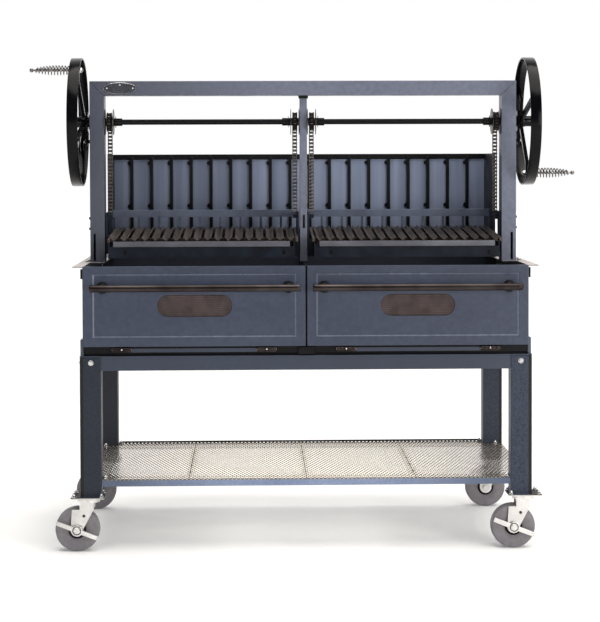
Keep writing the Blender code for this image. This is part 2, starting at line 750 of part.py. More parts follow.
def make_door_handle(side, sign):
    """Round bar on two standoffs with round bases."""
    ends = sorted((sign * DOOR_BAR_INNER, sign * DOOR_BAR_OUTER))
    chamfer = 0.002
    bar = turned_object("door_handle_" + side,
                        [(0, ends[0]), (DOOR_BAR_RADIUS - chamfer, ends[0]),
                         (DOOR_BAR_RADIUS, ends[0] + chamfer), (DOOR_BAR_RADIUS, ends[1] - chamfer),
                         (DOOR_BAR_RADIUS - chamfer, ends[1]), (0, ends[1])],
                        "X", (0, depth(DOOR_BAR_DEPTH), DOOR_BAR_Z), 20)
    face = depth(DOOR_FRONT - GAP)
    standoffs = []
    for place_x in STANDOFF_PLACES:
        centre = (sign * place_x, 0, DOOR_BAR_Z)
        base, neck = STANDOFF_BASE_RADIUS, STANDOFF_RADIUS
        profile = [(0, face), (base, face), (base, face - STANDOFF_STEPS[0]),
                   (neck, face - STANDOFF_STEPS[1]), (neck, depth(DOOR_BAR_DEPTH)),
                   (0, depth(DOOR_BAR_DEPTH))]
        standoffs.append(turned_object("standoff", profile, "Y", centre, 12))
    place(weld(bar, standoffs), "bronze", (0, depth(HINGE_DEPTH), HINGE_Z), smooth=True)


def make_hinge(side, sign):
    """Two hinge barrels on one mounting strip along the sill."""
    strip_z = (HINGE_Z + HINGE_STRIP[0], HINGE_Z + HINGE_STRIP[1])
    back = SILL_FRONT - GAP
    reach = HINGE_LENGTH / 2 - HINGE_END_GAP
    first, last = HINGE_PLACES
    solids = [side_box(sign, (first - reach, last + reach), (HINGE_STRIP_FRONT, back), strip_z)]
    barrels = []
    for place_x in HINGE_PLACES:
        solids.append(side_box(sign, (place_x - reach, place_x + reach), (HINGE_PAD_FRONT, back),
                               strip_z))
        low = sign * place_x - HINGE_LENGTH / 2
        high = sign * place_x + HINGE_LENGTH / 2
        barrels.append(turned_object("barrel", [(0, low), (HINGE_RADIUS, low),
                                                (HINGE_RADIUS, high), (0, high)],
                                     "X", (0, depth(HINGE_DEPTH), HINGE_Z), 16))
    place(weld(block_object("hinge_" + side, solids), barrels), "black_paint")


# ---------------------------------------------------------------- posts and beam

def shaft_bore(low, high, radius):
    """Cutter for a hole about the lift shafts' axis."""
    return turned_object("shaft_bore", [(0, low), (radius, low), (radius, high), (0, high)],
                         "X", (0, depth(SHAFT_DEPTH), SHAFT_Z), 16)


def mitre_cutter(sign, above):
    """Everything above, or below, the mitre line at a top corner of the posts' frame."""
    rise = BEAM_TOP_Z - BEAM_BOTTOM_Z
    run = POST_OUTER - POST_INNER
    extra = 3.0
    offset = GAP if above else -GAP
    low = (POST_INNER - extra * run, BEAM_BOTTOM_Z - extra * rise - offset)
    high = (POST_OUTER + extra * run, BEAM_TOP_Z + extra * rise - offset)
    corner = (low[0], high[1]) if above else (high[0], low[1])
    outline = [(sign * x, z) for x, z in (low, high, corner)]
    return prism_object("mitre_cutter", outline, "Y", depth(POST_FRONT - 0.05),
                        depth(POST_BACK + 0.05))


def make_post(side, sign):
    """Mitred rectangular tube with a narrow slot at its foot and a bore for the shaft."""
    depths = (POST_FRONT, POST_BACK)
    bottom = FIREBOX_TOP_Z + GAP
    outer = side_box(sign, (POST_INNER, POST_OUTER), depths, (bottom, BEAM_TOP_Z))
    hollow = side_box(sign, (POST_INNER + POST_WALL, POST_OUTER - POST_WALL),
                      (POST_FRONT + POST_WALL, POST_BACK - POST_WALL),
                      (bottom - POST_WALL, BEAM_TOP_Z + POST_WALL))
    slot = side_box(sign, FOOT_SLOT,
                    (POST_FRONT - POST_WALL, POST_FRONT + POST_WALL),
                    (bottom + FOOT_SLOT_RISE, FOOT_SLOT_TOP_Z))
    post = block_object("post_" + side, [outer], [hollow, slot])
    ends = sorted((sign * (POST_INNER - 0.02), sign * (POST_OUTER + 0.02)))
    bore = shaft_bore(ends[0], ends[1], BORE_RADIUS)
    place(drill(post, [bore, mitre_cutter(sign, True)]), "blue_paint")


def make_centre_post():
    half = CENTRE_POST_HALF_WIDTH
    half_depth = CENTRE_POST_HALF_DEPTH
    wall = SHEET
    bottom = FIREBOX_TOP_Z + GAP
    top = BEAM_BOTTOM_Z - GAP
    outer = box((-half, half), (SHAFT_DEPTH - half_depth, SHAFT_DEPTH + half_depth), (bottom, top))
    hollow = box((wall - half, half - wall),
                 (SHAFT_DEPTH - half_depth + wall, SHAFT_DEPTH + half_depth - wall),
                 (bottom - wall, top + wall))
    front = SHAFT_DEPTH - half_depth
    slot = box(CENTRE_SLOT, (front - wall, front + wall), CENTRE_SLOT_Z)
    post = block_object("post_centre", [outer], [hollow, slot])
    place(drill(post, [shaft_bore(-0.05, 0.05, BORE_RADIUS)]), "blue_paint")


def make_top_beam():
    """Mitred rectangular tube across the top of the posts."""
    outer = box((-POST_OUTER, POST_OUTER), (POST_FRONT, POST_BACK), (BEAM_BOTTOM_Z, BEAM_TOP_Z))
    hollow = box((-POST_OUTER - 0.01, POST_OUTER + 0.01),
                 (POST_FRONT + POST_WALL, POST_BACK - POST_WALL),
                 (BEAM_BOTTOM_Z + POST_WALL, BEAM_TOP_Z - POST_WALL))
    beam = block_object("top_beam", [outer], [hollow])
    cutters = [mitre_cutter(sign, False) for sign in SIDES.values()]
    place(drill(beam, cutters), "blue_paint")


# ---------------------------------------------------------------- lifts

def axle_pivot(sign):
    return (sign * (SHAFT_INNER + SHAFT_OUTER) / 2, depth(SHAFT_DEPTH), SHAFT_Z)


def make_shaft(side, sign):
    ends = sorted((sign * SHAFT_INNER, sign * SHAFT_OUTER))
    shaft = turned_object("shaft_" + side,
                          [(0, ends[0]), (SHAFT_RADIUS, ends[0]), (SHAFT_RADIUS, ends[1]),
                           (0, ends[1])],
                          "X", (0, depth(SHAFT_DEPTH), SHAFT_Z), 16)
    place(shaft, "black_paint", axle_pivot(sign), smooth=True)


def toothed_outline(teeth, root, tip, lean=0.0):
    """Outline of a wheel with straight-flanked teeth, which lean gives a steep side."""
    points = []
    for n in range(teeth):
        for radius, share in ((root, 0.0), (root, 0.30), (tip, 0.44 + lean), (tip, 0.66 + lean)):
            angle = 2 * math.pi * (n + share) / teeth
            points.append((depth(SHAFT_DEPTH) + radius * math.cos(angle),
                           SHAFT_Z + radius * math.sin(angle)))
    return points


def make_spool(side, sign, name, place_x):
    """Chain sprocket between two thin guide discs, with its sleeve on the shaft."""
    inwards = -1 if name == "outer" else 1
    sleeve_end = place_x + inwards * SLEEVE_LENGTH
    bore = SHAFT_RADIUS + GAP
    disc = SPOOL_DISC_THICKNESS / 2
    hub = SPOOL_HUB_RADIUS
    far = place_x - inwards * (SPOOL_DISC_OFFSET + disc)
    profile = [(bore, far), (SPOOL_DISC_RADIUS, far)]
    far_inner = far + inwards * 2 * disc
    near = place_x + inwards * (SPOOL_DISC_OFFSET - disc)
    profile += [(SPOOL_DISC_RADIUS, far_inner), (hub, far_inner), (hub, near),
                (SPOOL_DISC_RADIUS, near), (SPOOL_DISC_RADIUS, near + inwards * 2 * disc),
                (hub, near + inwards * 2 * disc), (hub, sleeve_end), (bore, sleeve_end)]
    profile = [(radius, sign * level) for radius, level in profile]
    centre = (0, depth(SHAFT_DEPTH), SHAFT_Z)
    spool = turned_object("sprocket_%s_%s" % (side, name), profile, "X", centre, 16)
    ends = sorted((sign * place_x - SPROCKET_THICKNESS / 2, sign * place_x + SPROCKET_THICKNESS / 2))
    outline = toothed_outline(SPROCKET_TEETH, SPROCKET_PITCH_RADIUS - TOOTH_ROOT,
                              SPROCKET_PITCH_RADIUS + TOOTH_TIP)
    teeth = prism_object("teeth", outline, "X", ends[0], ends[1])
    drill(teeth, [shaft_bore(ends[0] - 0.01, ends[1] + 0.01, (bore + hub) / 2)])
    place(weld(spool, [teeth]), "chain_steel", axle_pivot(sign))


def wheel_ring(name, inner_radius, outer_radius, ends, segments):
    profile = [(inner_radius, ends[0]), (outer_radius, ends[0]), (outer_radius, ends[1]),
               (inner_radius, ends[1])]
    return turned_object(name, profile, "X", (0, depth(SHAFT_DEPTH), SHAFT_Z), segments)


def make_hand_wheel(side, sign):
    """Flat-rimmed hand wheel with three spokes, on a hub that carries the ratchet."""
    rim_ends = sorted((sign * HAND_WHEEL_INNER, sign * HAND_WHEEL_OUTER))
    hub_ends = sorted((sign * HUB_INNER, sign * (HAND_WHEEL_OUTER + HUB_PROUD)))
    ratchet_ends = sorted((sign * RATCHET_INNER, sign * RATCHET_OUTER))
    spoke_ends = sorted((sign * SPOKE_INNER, sign * SPOKE_OUTER))
    wheel = wheel_ring("hand_wheel_" + side, HAND_WHEEL_RADIUS - HAND_WHEEL_RIM,
                       HAND_WHEEL_RADIUS, rim_ends, 44)
    others = [wheel_ring("hub", SHAFT_RADIUS + GAP, HAND_WHEEL_HUB_RADIUS, hub_ends, 16)]
    toothed = prism_object("ratchet", toothed_outline(RATCHET_TEETH, RATCHET_RADIUS - RATCHET_TOOTH,
                                                      RATCHET_RADIUS, RATCHET_LEAN),
                           "X", ratchet_ends[0], ratchet_ends[1])
    drill(toothed, [shaft_bore(ratchet_ends[0] - 0.01, ratchet_ends[1] + 0.01, RATCHET_BORE)])
    others.append(toothed)
    centre_y, centre_z = depth(SHAFT_DEPTH), SHAFT_Z
    for n in range(SPOKES):
        angle = math.radians(-90 * sign + 360 * n / SPOKES)
        along = (math.cos(angle), math.sin(angle))
        across = (-along[1] * SPOKE_WIDTH / 2, along[0] * SPOKE_WIDTH / 2)
        start, stop = SPOKE_START, HAND_WHEEL_RADIUS - HAND_WHEEL_RIM / 2
        outline = []
        for reach, half in ((start, 1), (stop, 1), (stop, -1), (start, -1)):
            outline.append((centre_y + along[0] * reach + across[0] * half,
                            centre_z + along[1] * reach + across[1] * half))
        others.append(prism_object("spoke", outline, "X", spoke_ends[0], spoke_ends[1]))
    place(weld(wheel, others), "wheel_gloss", axle_pivot(sign), smooth=True)


def make_coil_handle(side, sign):
    """Spring-coil grip, as its bulged outer shape, on the spoke that points down or up."""
    z = SHAFT_Z - sign * HANDLE_ORBIT
    start = SPOKE_OUTER + GAP
    length = HANDLE_END - start
    shape = ((0.0, 0.0), (0.010, 0.0), (0.010, 0.10), (0.014, 0.16), (0.0185, 0.42),
             (0.0185, 0.56), (0.013, 0.80), (0.006, 0.90), (0.006, 0.93), (0.0085, 0.95),
             (0.0085, 0.985), (0.004, 1.0), (0.0, 1.0))
    profile = [(radius, sign * (start + share * length)) for radius, share in shape]
    grip = turned_object("coil_handle_" + side, profile, "X", (0, depth(SHAFT_DEPTH), z), 12)
    place(grip, "bright_steel", axle_pivot(sign), smooth=True)


def make_bearing(side, sign):
    """Flange bearing on the outer face of a post."""
    ends = sorted((sign * (POST_OUTER + GAP), sign * (HUB_INNER - GAP)))
    place(wheel_ring("bearing_" + side, BORE_RADIUS, BEARING_RADIUS, ends, 16), "black_paint")


def make_pawl(side, sign):
    """Catch below the ratchet, with its pivot boss and a finger tail towards the front."""
    y = depth(SHAFT_DEPTH)
    tip_z = SHAFT_Z - RATCHET_RADIUS - PAWL_CLEARANCE
    outline = [(y - 0.004, tip_z), (y + 0.004, tip_z - 0.0015), (y + 0.010, PAWL_Z + 0.004)]
    outline += arc((y, PAWL_Z), PAWL_EYE_RADIUS, 0, -120, 6)
    outline += [(y - 0.034, PAWL_Z - 0.020), (y - 0.038, PAWL_Z - 0.012), (y - 0.008, PAWL_Z + 0.008)]
    ends = sorted((sign * RATCHET_INNER, sign * RATCHET_OUTER))
    pawl = prism_object("pawl_" + side, outline, "X", ends[0], ends[1])
    boss_ends = sorted((sign * (POST_OUTER + GAP), sign * (RATCHET_OUTER + PAWL_BOSS_PROUD)))
    boss = turned_object("boss", [(0, boss_ends[0]), (PAWL_BOSS_RADIUS, boss_ends[0]),
                                  (PAWL_BOSS_RADIUS, boss_ends[1]), (0, boss_ends[1])],
                         "X", (0, y, PAWL_Z), 16)
    place(weld(pawl, [boss]), "black_paint", (sign * RATCHET_INNER, y, PAWL_Z))


def make_chain(side, sign, name, place_x):
    """Hanging run of roller chain, as its outer shape."""
    line = SHAFT_DEPTH + SPROCKET_PITCH_RADIUS
    run = side_box(sign, (place_x - CHAIN_HALF_WIDTH, place_x + CHAIN_HALF_WIDTH),
                   (line - CHAIN_HALF_DEPTH, line + CHAIN_HALF_DEPTH),
                   (CHAIN_BOTTOM_Z, CHAIN_TOP_Z))
    place(block_object("chain_%s_%s" % (side, name), [run]), "chain_steel")


# ---------------------------------------------------------------- carriages

def bar_rise(back):
    """Height that a grate bar has gained at a depth."""
    return BAR_SLOPE * (back - BAR_FRONT)


def cross_bar_heights(back):
    top = BAR_TIP_Z + bar_rise(back) + CROSS_BAR_BITE
    return top - CROSS_BAR_HEIGHT, top


def make_carriage(side, sign):
    """Welded frame that holds one grate: side plates, rails, guard bars, ledges and chain lugs."""
    inner, outer, plate = CARRIAGE_INNER, CARRIAGE_OUTER, CARRIAGE_PLATE
    nose_inner, nose_outer = CARRIAGE_NOSE
    front, back, tall = CARRIAGE_FRONT, CARRIAGE_BACK, TALL_PLATE_FRONT
    bottom, top = CARRIAGE_BOTTOM_Z, CARRIAGE_TOP_Z
    parts = []
    for low, high in ((inner, inner + plate), (outer - plate, outer)):
        parts.append(((low, high), (tall, back), (bottom, top)))
    for low, high in ((nose_inner, nose_inner + plate), (nose_outer - plate, nose_outer)):
        parts.append(((low, high), (front, tall + plate), (bottom, NOSE_TOP_Z)))
    for low, high in ((inner, nose_inner + plate), (nose_outer - plate, outer)):
        parts.append(((low, high), (tall, tall + plate), (bottom, NOSE_TOP_Z)))
    parts.append((CARRIAGE_NOSE, (front, front + plate), (bottom, RAIL_TOP_Z)))
    parts.append((CARRIAGE_NOSE, TRAY_LEDGE_DEPTHS, (RAIL_TOP_Z - TRAY_LEDGE_THICKNESS, RAIL_TOP_Z)))
    rail_depth, rail_height = REAR_RAIL
    parts.append(((inner, outer), (back - rail_depth, back), (top - rail_height, top)))
    parts.append(((inner, outer), (back - REAR_BAR_DEPTH, back), REAR_BAR_Z))
    for n in range(GUARD_BARS):
        x = inner + GUARD_START + (n + 0.5) * GUARD_PITCH
        parts.append(((x - GUARD_WIDTH / 2, x + GUARD_WIDTH / 2),
                      (back - GUARD_DEPTHS[1], back - GUARD_DEPTHS[0]),
                      (REAR_BAR_Z[1], top - rail_height)))
    first, last = CROSS_BAR_DEPTHS
    half = GRATE_LEDGE_DEPTH / 2
    for line, depths in ((first, (tall, tall + FRONT_LEDGE_DEPTH)), (last, (last - half, last + half))):
        ledge_top = cross_bar_heights(line)[0] - GAP
        for low, high in ((inner + plate, inner + GRATE_LEDGE_WIDTH),
                          (outer - GRATE_LEDGE_WIDTH, outer - plate)):
            parts.append(((low, high), depths, (ledge_top - GRATE_LEDGE_THICKNESS, ledge_top)))
    chain_line = SHAFT_DEPTH + SPROCKET_PITCH_RADIUS
    lug_top = CHAIN_BOTTOM_Z - GAP
    lug_depths = (chain_line - LUG_DEPTH / 2, chain_line + LUG_DEPTH / 2)
    for low, high in ((inner + plate, SPOOL_PLACES[0] + LUG_HALF_WIDTH),
                      (SPOOL_PLACES[1] - LUG_HALF_WIDTH, outer - plate)):
        parts.append(((low, high), lug_depths, (lug_top - LUG_HEIGHT, lug_top)))
    solids = [side_box(sign, *ranges) for ranges in parts]
    window = side_box(sign, (outer - 2 * plate, outer + plate), PLATE_WINDOW_DEPTHS, PLATE_WINDOW_Z)
    place(block_object("carriage_" + side, solids, [window]), "black_paint")


def make_grate(side, sign):
    """Sloping V bars between two end rails, welded on two cross bars."""
    arm = BAR_LEG / math.sqrt(2)
    wall = BAR_THICKNESS / math.sqrt(2)
    outline = [(0, 0), (arm, arm), (arm - wall, arm + wall), (0, 2 * wall),
               (wall - arm, arm + wall), (-arm, arm)]
    sections = []
    for n in range(BAR_COUNT):
        x = sign * (BAR_FIRST + (BAR_LAST - BAR_FIRST) * n / (BAR_COUNT - 1))
        sections.append([(x + a, BAR_TIP_Z + b) for a, b in outline])
    low, high = (BAR_TIP_Z + height for height in END_RAIL_HEIGHTS)
    for rail in END_RAILS:
        left, right = sorted(sign * x for x in rail)
        sections.append([(left, low), (right, low), (right, high), (left, high)])
    bars = []
    for section in sections:
        bar = prism_object("bar", section, "Y", depth(BAR_FRONT), depth(BAR_BACK))
        for vertex in bar.data.vertices:
            vertex.co.z += bar_rise(vertex.co.y - FRONT_Y)
        bars.append(bar)
    half = CROSS_BAR_WIDTH / 2
    cross = []
    for line in CROSS_BAR_DEPTHS:
        solid = side_box(sign, CROSS_BAR_REACH, (line - half, line + half), cross_bar_heights(line))
        cross.append(block_object("cross_bar", [solid]))
    grate = cross[0]
    grate.name = "grate_" + side
    weld(grate, bars + cross[1:])
    for vertex in grate.data.vertices:
        vertex.co.x += GRATE_SHIFT
    place(grate, "grate_steel")


def make_tray(side, sign):
    """Drip tray under the low front ends of the bars."""
    bottom = RAIL_TOP_Z + GAP
    wall = TRAY_WALL
    outer = side_box(sign, (TRAY_INNER, TRAY_OUTER), (TRAY_FRONT, TRAY_BACK), (bottom, TRAY_TOP_Z))
    hollow = side_box(sign, (TRAY_INNER + wall, TRAY_OUTER - wall),
                      (TRAY_FRONT + wall, TRAY_BACK - wall), (bottom + wall, TRAY_TOP_Z + wall))
    step = side_box(sign, (TRAY_INNER - wall, TRAY_OUTER + wall),
                    (TRAY_STEP_DEPTH, TRAY_BACK + wall), (TRAY_STEP_Z, TRAY_TOP_Z + wall))
    place(block_object("drip_tray_" + side, [outer], [hollow, step]), "tray_steel")


def main():
    clear_scene()
    make_cart_top_frame()
    make_shelf_frame()
    make_shelf_mesh()
    for side, sign in SIDES.items():
        for end, rear in (("front", False), ("rear", True)):
            corner = "%s_%s" % (end, side)
            make_leg("leg_" + corner, sign, rear)
            make_caster(corner, sign, rear)
    make_firebox_pan()
    make_back_wall()
    make_divider()
    make_back_shield()
    make_rib_rack()
    make_centre_post()
    make_top_beam()
    for side, sign in SIDES.items():
        make_side_wall(side, sign)
        make_firebricks(side, sign)
        make_door(side, sign)
        make_door_handle(side, sign)
        make_hinge(side, sign)
        make_post(side, sign)
        make_shaft(side, sign)
        make_hand_wheel(side, sign)
        make_coil_handle(side, sign)
        make_bearing(side, sign)
        make_pawl(side, sign)
        for name, place_x in zip(("inner", "outer"), SPOOL_PLACES):
            make_spool(side, sign, name, place_x)
            make_chain(side, sign, name, place_x)
        make_carriage(side, sign)
        make_grate(side, sign)
        make_tray(side, sign)


main()
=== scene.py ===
"""Looks of a double open-fire grill: materials, fine pieces, light and camera round its frame.

Metres, +Z up, front towards -Y, left is -X. Positions are read from the CAD nodes' boxes.
"""

from math import cos, hypot, pi, radians, sin, sqrt

import bmesh
import bpy
from mathutils import Matrix, Vector


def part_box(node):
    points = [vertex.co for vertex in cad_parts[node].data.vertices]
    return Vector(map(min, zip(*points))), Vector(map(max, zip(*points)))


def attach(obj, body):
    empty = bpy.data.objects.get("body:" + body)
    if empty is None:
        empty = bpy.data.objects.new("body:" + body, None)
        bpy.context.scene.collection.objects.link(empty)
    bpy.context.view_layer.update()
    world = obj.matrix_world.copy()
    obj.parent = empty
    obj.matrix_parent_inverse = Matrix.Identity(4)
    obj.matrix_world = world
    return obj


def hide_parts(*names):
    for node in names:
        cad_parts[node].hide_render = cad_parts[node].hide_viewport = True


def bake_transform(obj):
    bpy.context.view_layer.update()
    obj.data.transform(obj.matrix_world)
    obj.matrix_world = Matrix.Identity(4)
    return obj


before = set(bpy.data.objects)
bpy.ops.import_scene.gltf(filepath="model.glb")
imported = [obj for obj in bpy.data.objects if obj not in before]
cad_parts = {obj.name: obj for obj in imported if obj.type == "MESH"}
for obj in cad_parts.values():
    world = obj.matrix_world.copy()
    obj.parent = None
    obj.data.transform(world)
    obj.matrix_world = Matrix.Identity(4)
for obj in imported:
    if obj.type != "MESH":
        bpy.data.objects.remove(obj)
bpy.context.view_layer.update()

SIDES = {"left": -1, "right": 1}
CORNERS = [(end, side) for end in ("front", "rear") for side in SIDES]
AXES = {"X": (1, 2, 0), "Y": (0, 2, 1), "Z": (0, 1, 2)}
CART_FRONT_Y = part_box("cart_top_frame")[0].y


def middle(node):
    low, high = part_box(node)
    return (low + high) / 2


def outermost(node):
    """How far a node reaches to its own side."""
    low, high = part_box(node)
    return max(abs(low.x), abs(high.x))


SHAFT = middle("shaft_left")
SHAFT_RADIUS = 0.0095
CHAIN_PITCH = 0.0127
CHAIN_TEETH = 14
CHAIN_RADIUS = CHAIN_PITCH / (2 * sin(pi / CHAIN_TEETH))

# near black, for painted shade on the rear legs and the shield's wings, and for the shield's black foot
NEAR_BLACK = (0.003, 0.003, 0.004)
LEG_DARK = (0.026, 0.038, 0.066)
LEG_LIGHT = (0.037, 0.051, 0.084)
OUTER_STRIP = 0.752          # where the legs' outer sides begin, from the middle
STEP = 0.0005                # width of a sharp change of colour
LONG_X = (0.05, 1.0, 1.0)    # stretches a grain along X
BROAD = 2.6                  # scale of the clouds in painted sheet
PEEL_DEPTH = 0.00025         # of the orange peel in paint
GRIT = 230.0                 # scale of the coarse powder coat on the cart
BLACK_FOOT_LINE = (1.055, 1.068)   # height where the shield's black foot ends
PALE_TOP_DEPTH = 0.001             # depth of the pale tan band at the top of the side walls


# ---- node materials

def add_node(tree, kind, **inputs):
    """Add a node and set its inputs, whose names have _ in place of a space."""
    made = tree.nodes.new("ShaderNode" + kind)
    for name, value in inputs.items():
        made.inputs[name.replace("_", " ")].default_value = value
    return made


class Surface:
    """A Principled material with helpers that wire procedural detail into it."""

    def __init__(self, name, metallic=0.0, specular=0.5):
        self.material = bpy.data.materials.new(name)
        self.material.use_nodes = True
        self.tree = self.material.node_tree
        self.shader = self.tree.nodes["Principled BSDF"]
        self.shader.inputs["Metallic"].default_value = metallic
        self.shader.inputs["Specular IOR Level"].default_value = specular
        self.place = self.node("TexCoord").outputs["Object"]
        self.bumps = None

    def link(self, source, target):
        self.tree.links.new(source, target)

    def node(self, kind, **inputs):
        return add_node(self.tree, kind, **inputs)

    def noise(self, scale, detail=2.0, stretch=None, roughness=0.5):
        texture = self.node("TexNoise", Scale=scale, Detail=detail, Roughness=roughness)
        place = self.place
        if stretch:
            mapping = self.node("Mapping", Scale=stretch)
            self.link(place, mapping.inputs["Vector"])
            place = mapping.outputs["Vector"]
        self.link(place, texture.inputs["Vector"])
        return texture.outputs["Fac"]

    def cells(self, scale):
        texture = self.node("TexVoronoi", Scale=scale)
        self.link(self.place, texture.inputs["Vector"])
        return texture.outputs["Distance"]

    def span(self, source, low, high, from_low=0.3, from_high=0.7):
        """Map a factor from one range to another; the default one is where noise lies."""
        node = self.node("MapRange", From_Min=from_low, From_Max=from_high, To_Min=low, To_Max=high)
        self.link(source, node.inputs["Value"])
        return node.outputs["Result"]

    def part(self, axis, vector=None):
        split = self.node("SeparateXYZ")
        self.link(vector or self.place, split.inputs["Vector"])
        return split.outputs[axis]

    def along(self, axis, low, high):
        """0 to 1 between two places along an axis."""
        return self.span(self.part(axis), 0.0, 1.0, low, high)

    def away(self, axis, low, high):
        """0 to 1 between two distances from the middle along an axis."""
        distance = self.node("Math")
        distance.operation = "ABSOLUTE"
        self.link(self.part(axis), distance.inputs[0])
        return self.span(distance.outputs["Value"], 0.0, 1.0, low, high)

    def upward(self):
        """1 on faces that look up, 0 on the others."""
        normal = self.node("NewGeometry").outputs["True Normal"]
        return self.span(self.part("Z", normal), 0.0, 1.0, 0.5, 0.6)

    def mix(self, factor, first, second):
        """Blend two colours, each a tuple or the output of another mix."""
        node = self.node("Mix")
        node.data_type = "RGBA"
        self.link(factor, node.inputs["Factor"])
        for socket, colour in ((node.inputs[6], first), (node.inputs[7], second)):
            if isinstance(colour, tuple):
                socket.default_value = (*colour, 1.0)
            else:
                self.link(colour, socket)
        return node.outputs[2]

    def tone(self, noise, dark, light):
        """Blend two colours by a noise."""
        return self.mix(self.span(noise, 0.0, 1.0), dark, light)

    def colour(self, source):
        self.link(source, self.shader.inputs["Base Color"])

    def rough(self, source, low, high):
        self.link(self.span(source, low, high), self.shader.inputs["Roughness"])

    def bump(self, height, distance, strength=0.5):
        node = self.node("Bump", Distance=distance, Strength=strength)
        self.link(height, node.inputs["Height"])
        if self.bumps is not None:
            self.link(self.bumps, node.inputs["Normal"])
        self.bumps = node.outputs["Normal"]
        self.link(self.bumps, self.shader.inputs["Normal"])


def scaled(colour, factor):
    return tuple(channel * factor for channel in colour)


def clouded(surface, cloud, dark, light, left_shade=None):
    """Two shades in clouds, with painted shade that dims them to the left: the last argument is where
    that painted shade starts, ends and how dark.
    """
    shade = surface.mix(cloud, dark, light)
    if not left_shade:
        return shade
    low, high, factor = left_shade
    # painted shade: a dimmer copy of the two shades, blended in towards the left
    dim = surface.mix(cloud, scaled(dark, factor), scaled(light, factor))
    return surface.mix(surface.along("X", low, high), dim, shade)


def paint(name, dark, light, roughness, specular=0.5, left_shade=None, grit=60.0):
    """Powder-coated or painted sheet: broad cloudiness, fine mottling and orange peel."""
    surface = Surface(name, 0.0, specular)
    cloud = surface.span(surface.noise(BROAD, 3.0), 0.0, 1.0)
    mottle = surface.noise(grit)
    shade = clouded(surface, cloud, dark, light, left_shade)
    surface.colour(surface.mix(surface.span(mottle, 0.0, 0.4), shade, scaled(dark, 0.5)))
    surface.rough(surface.noise(9.0, 3.0), roughness - 0.05, roughness + 0.07)
    surface.bump(surface.noise(900.0, 1.0), PEEL_DEPTH)
    surface.bump(surface.noise(7.0), 0.0012, 0.35)
    return surface


def worked_metal(name, dark, light, roughness, brush=None, scale=30.0, spread=0.1):
    """Bare metal with grain along the way it was rolled or brushed, and uneven tone."""
    surface = Surface(name, 1.0)
    grain = surface.noise(scale, 4.0, brush, 0.65)
    shade = surface.tone(surface.noise(14.0, 3.0), dark, light)
    surface.colour(surface.mix(surface.span(grain, 0.0, 0.4), shade, dark))
    surface.rough(grain, roughness - spread, roughness + spread)
    surface.bump(grain, 0.0002)
    return surface


def carriage_paint():
    """Dark frame paint, darker towards the fire as painted shade and bluer at the rear rails as painted
    light.
    """
    surface = Surface("carriage_paint", 0.0, 0.22)
    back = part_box("carriage_left")[1].y
    rear = surface.along("Y", back - 0.04, back - 0.03)
    soot = surface.noise(16.0, 4.0)
    # painted shade on the front rails and painted light on the rear rails
    front_painted_shade = surface.tone(soot, (0.005, 0.007, 0.013), (0.018, 0.025, 0.042))
    rear_painted_light = surface.tone(soot, (0.11, 0.13, 0.185), (0.155, 0.185, 0.255))
    surface.colour(surface.mix(rear, front_painted_shade, rear_painted_light))
    surface.rough(soot, 0.36, 0.55)
    surface.bump(surface.noise(700.0, 2.0), 0.0002, 0.6)
    return surface


def leg_paint():
    """Navy legs, dimmer to the left and darker at the rear as painted shade, black down their outer strip
    as painted shade, with the zinc caster plate under their foot.
    """
    surface = Surface("leg_paint", 0.0, 0.35)
    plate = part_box("leg_front_right")[0].z + 0.0034
    cloud = surface.span(surface.noise(BROAD, 3.0), 0.0, 1.0)
    grit = surface.noise(GRIT)
    # painted shade: dimmer to the left
    face = clouded(surface, cloud, LEG_DARK, LEG_LIGHT, (-0.7, 0.7, 0.45))
    face = surface.mix(surface.span(grit, 0.0, 0.7, 0.35, 0.65), face, (0.01, 0.013, 0.021))
    # painted shade: the rear legs darkened towards near black
    rear = surface.span(surface.along("Y", 0.0, 0.3), 0.0, 0.35, 0.0, 1.0)
    face = surface.mix(rear, face, NEAR_BLACK)
    # painted shade: the legs' outer strip black
    outer = surface.away("X", OUTER_STRIP, OUTER_STRIP + STEP)
    face = surface.mix(outer, face, (0.004, 0.004, 0.005))
    above = surface.along("Z", plate, plate + 0.0002)
    surface.colour(surface.mix(above, (0.62, 0.61, 0.58), face))
    surface.rough(grit, 0.42, 0.6)
    surface.bump(grit, 0.0003, 0.6)
    return surface


def grate_steel():
    """Seasoned grate bars: brown oil-burnt steel with dark flecks."""
    surface = Surface("grate_steel", 0.75, 0.5)
    burn = surface.noise(38.0, 5.0, (1.0, 0.25, 1.0), 0.65)
    fleck = surface.noise(420.0, 3.0)
    tone = surface.tone(burn, (0.026, 0.02, 0.018), (0.19, 0.158, 0.142))
    surface.colour(surface.mix(surface.span(fleck, 0.0, 0.5), tone, (0.03, 0.024, 0.022)))
    surface.rough(burn, 0.42, 0.66)
    surface.bump(burn, 0.0006)
    surface.bump(fleck, 0.0003)
    return surface


def shield_paint():
    """Blue sheet in a lighter copy of the blue paint as painted light, brighter to the right with painted
    shade to the left, with wings painted black as shade, a black foot and a darker back.
    """
    surface = Surface("shield_paint", 0.0, 0.4)
    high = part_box("back_shield")[1]
    # dark and light are a lighter copy of the blue paint: painted light
    dark, light = (0.215, 0.265, 0.39), (0.37, 0.43, 0.605)
    streak = surface.span(surface.noise(BROAD, 3.0, (9.0, 9.0, 0.25)), 0.0, 1.0)
    # painted shade to the left
    shade = clouded(surface, streak, dark, light, (-0.7, 0.7, 0.5))
    # the wings are painted black as shade
    shade = surface.mix(surface.away("X", high.x - 0.0035, high.x - 0.003), shade, NEAR_BLACK)
    front = surface.mix(surface.along("Z", *BLACK_FOOT_LINE), NEAR_BLACK, shade)
    rear = surface.mix(streak, (0.04, 0.053, 0.088), (0.056, 0.071, 0.112))
    surface.colour(surface.mix(surface.along("Y", high.y - 0.0012, high.y - 0.0008), front, rear))
    surface.rough(surface.noise(12.0, 3.0), 0.36, 0.5)
    surface.bump(surface.noise(900.0, 1.0), PEEL_DEPTH)
    return surface


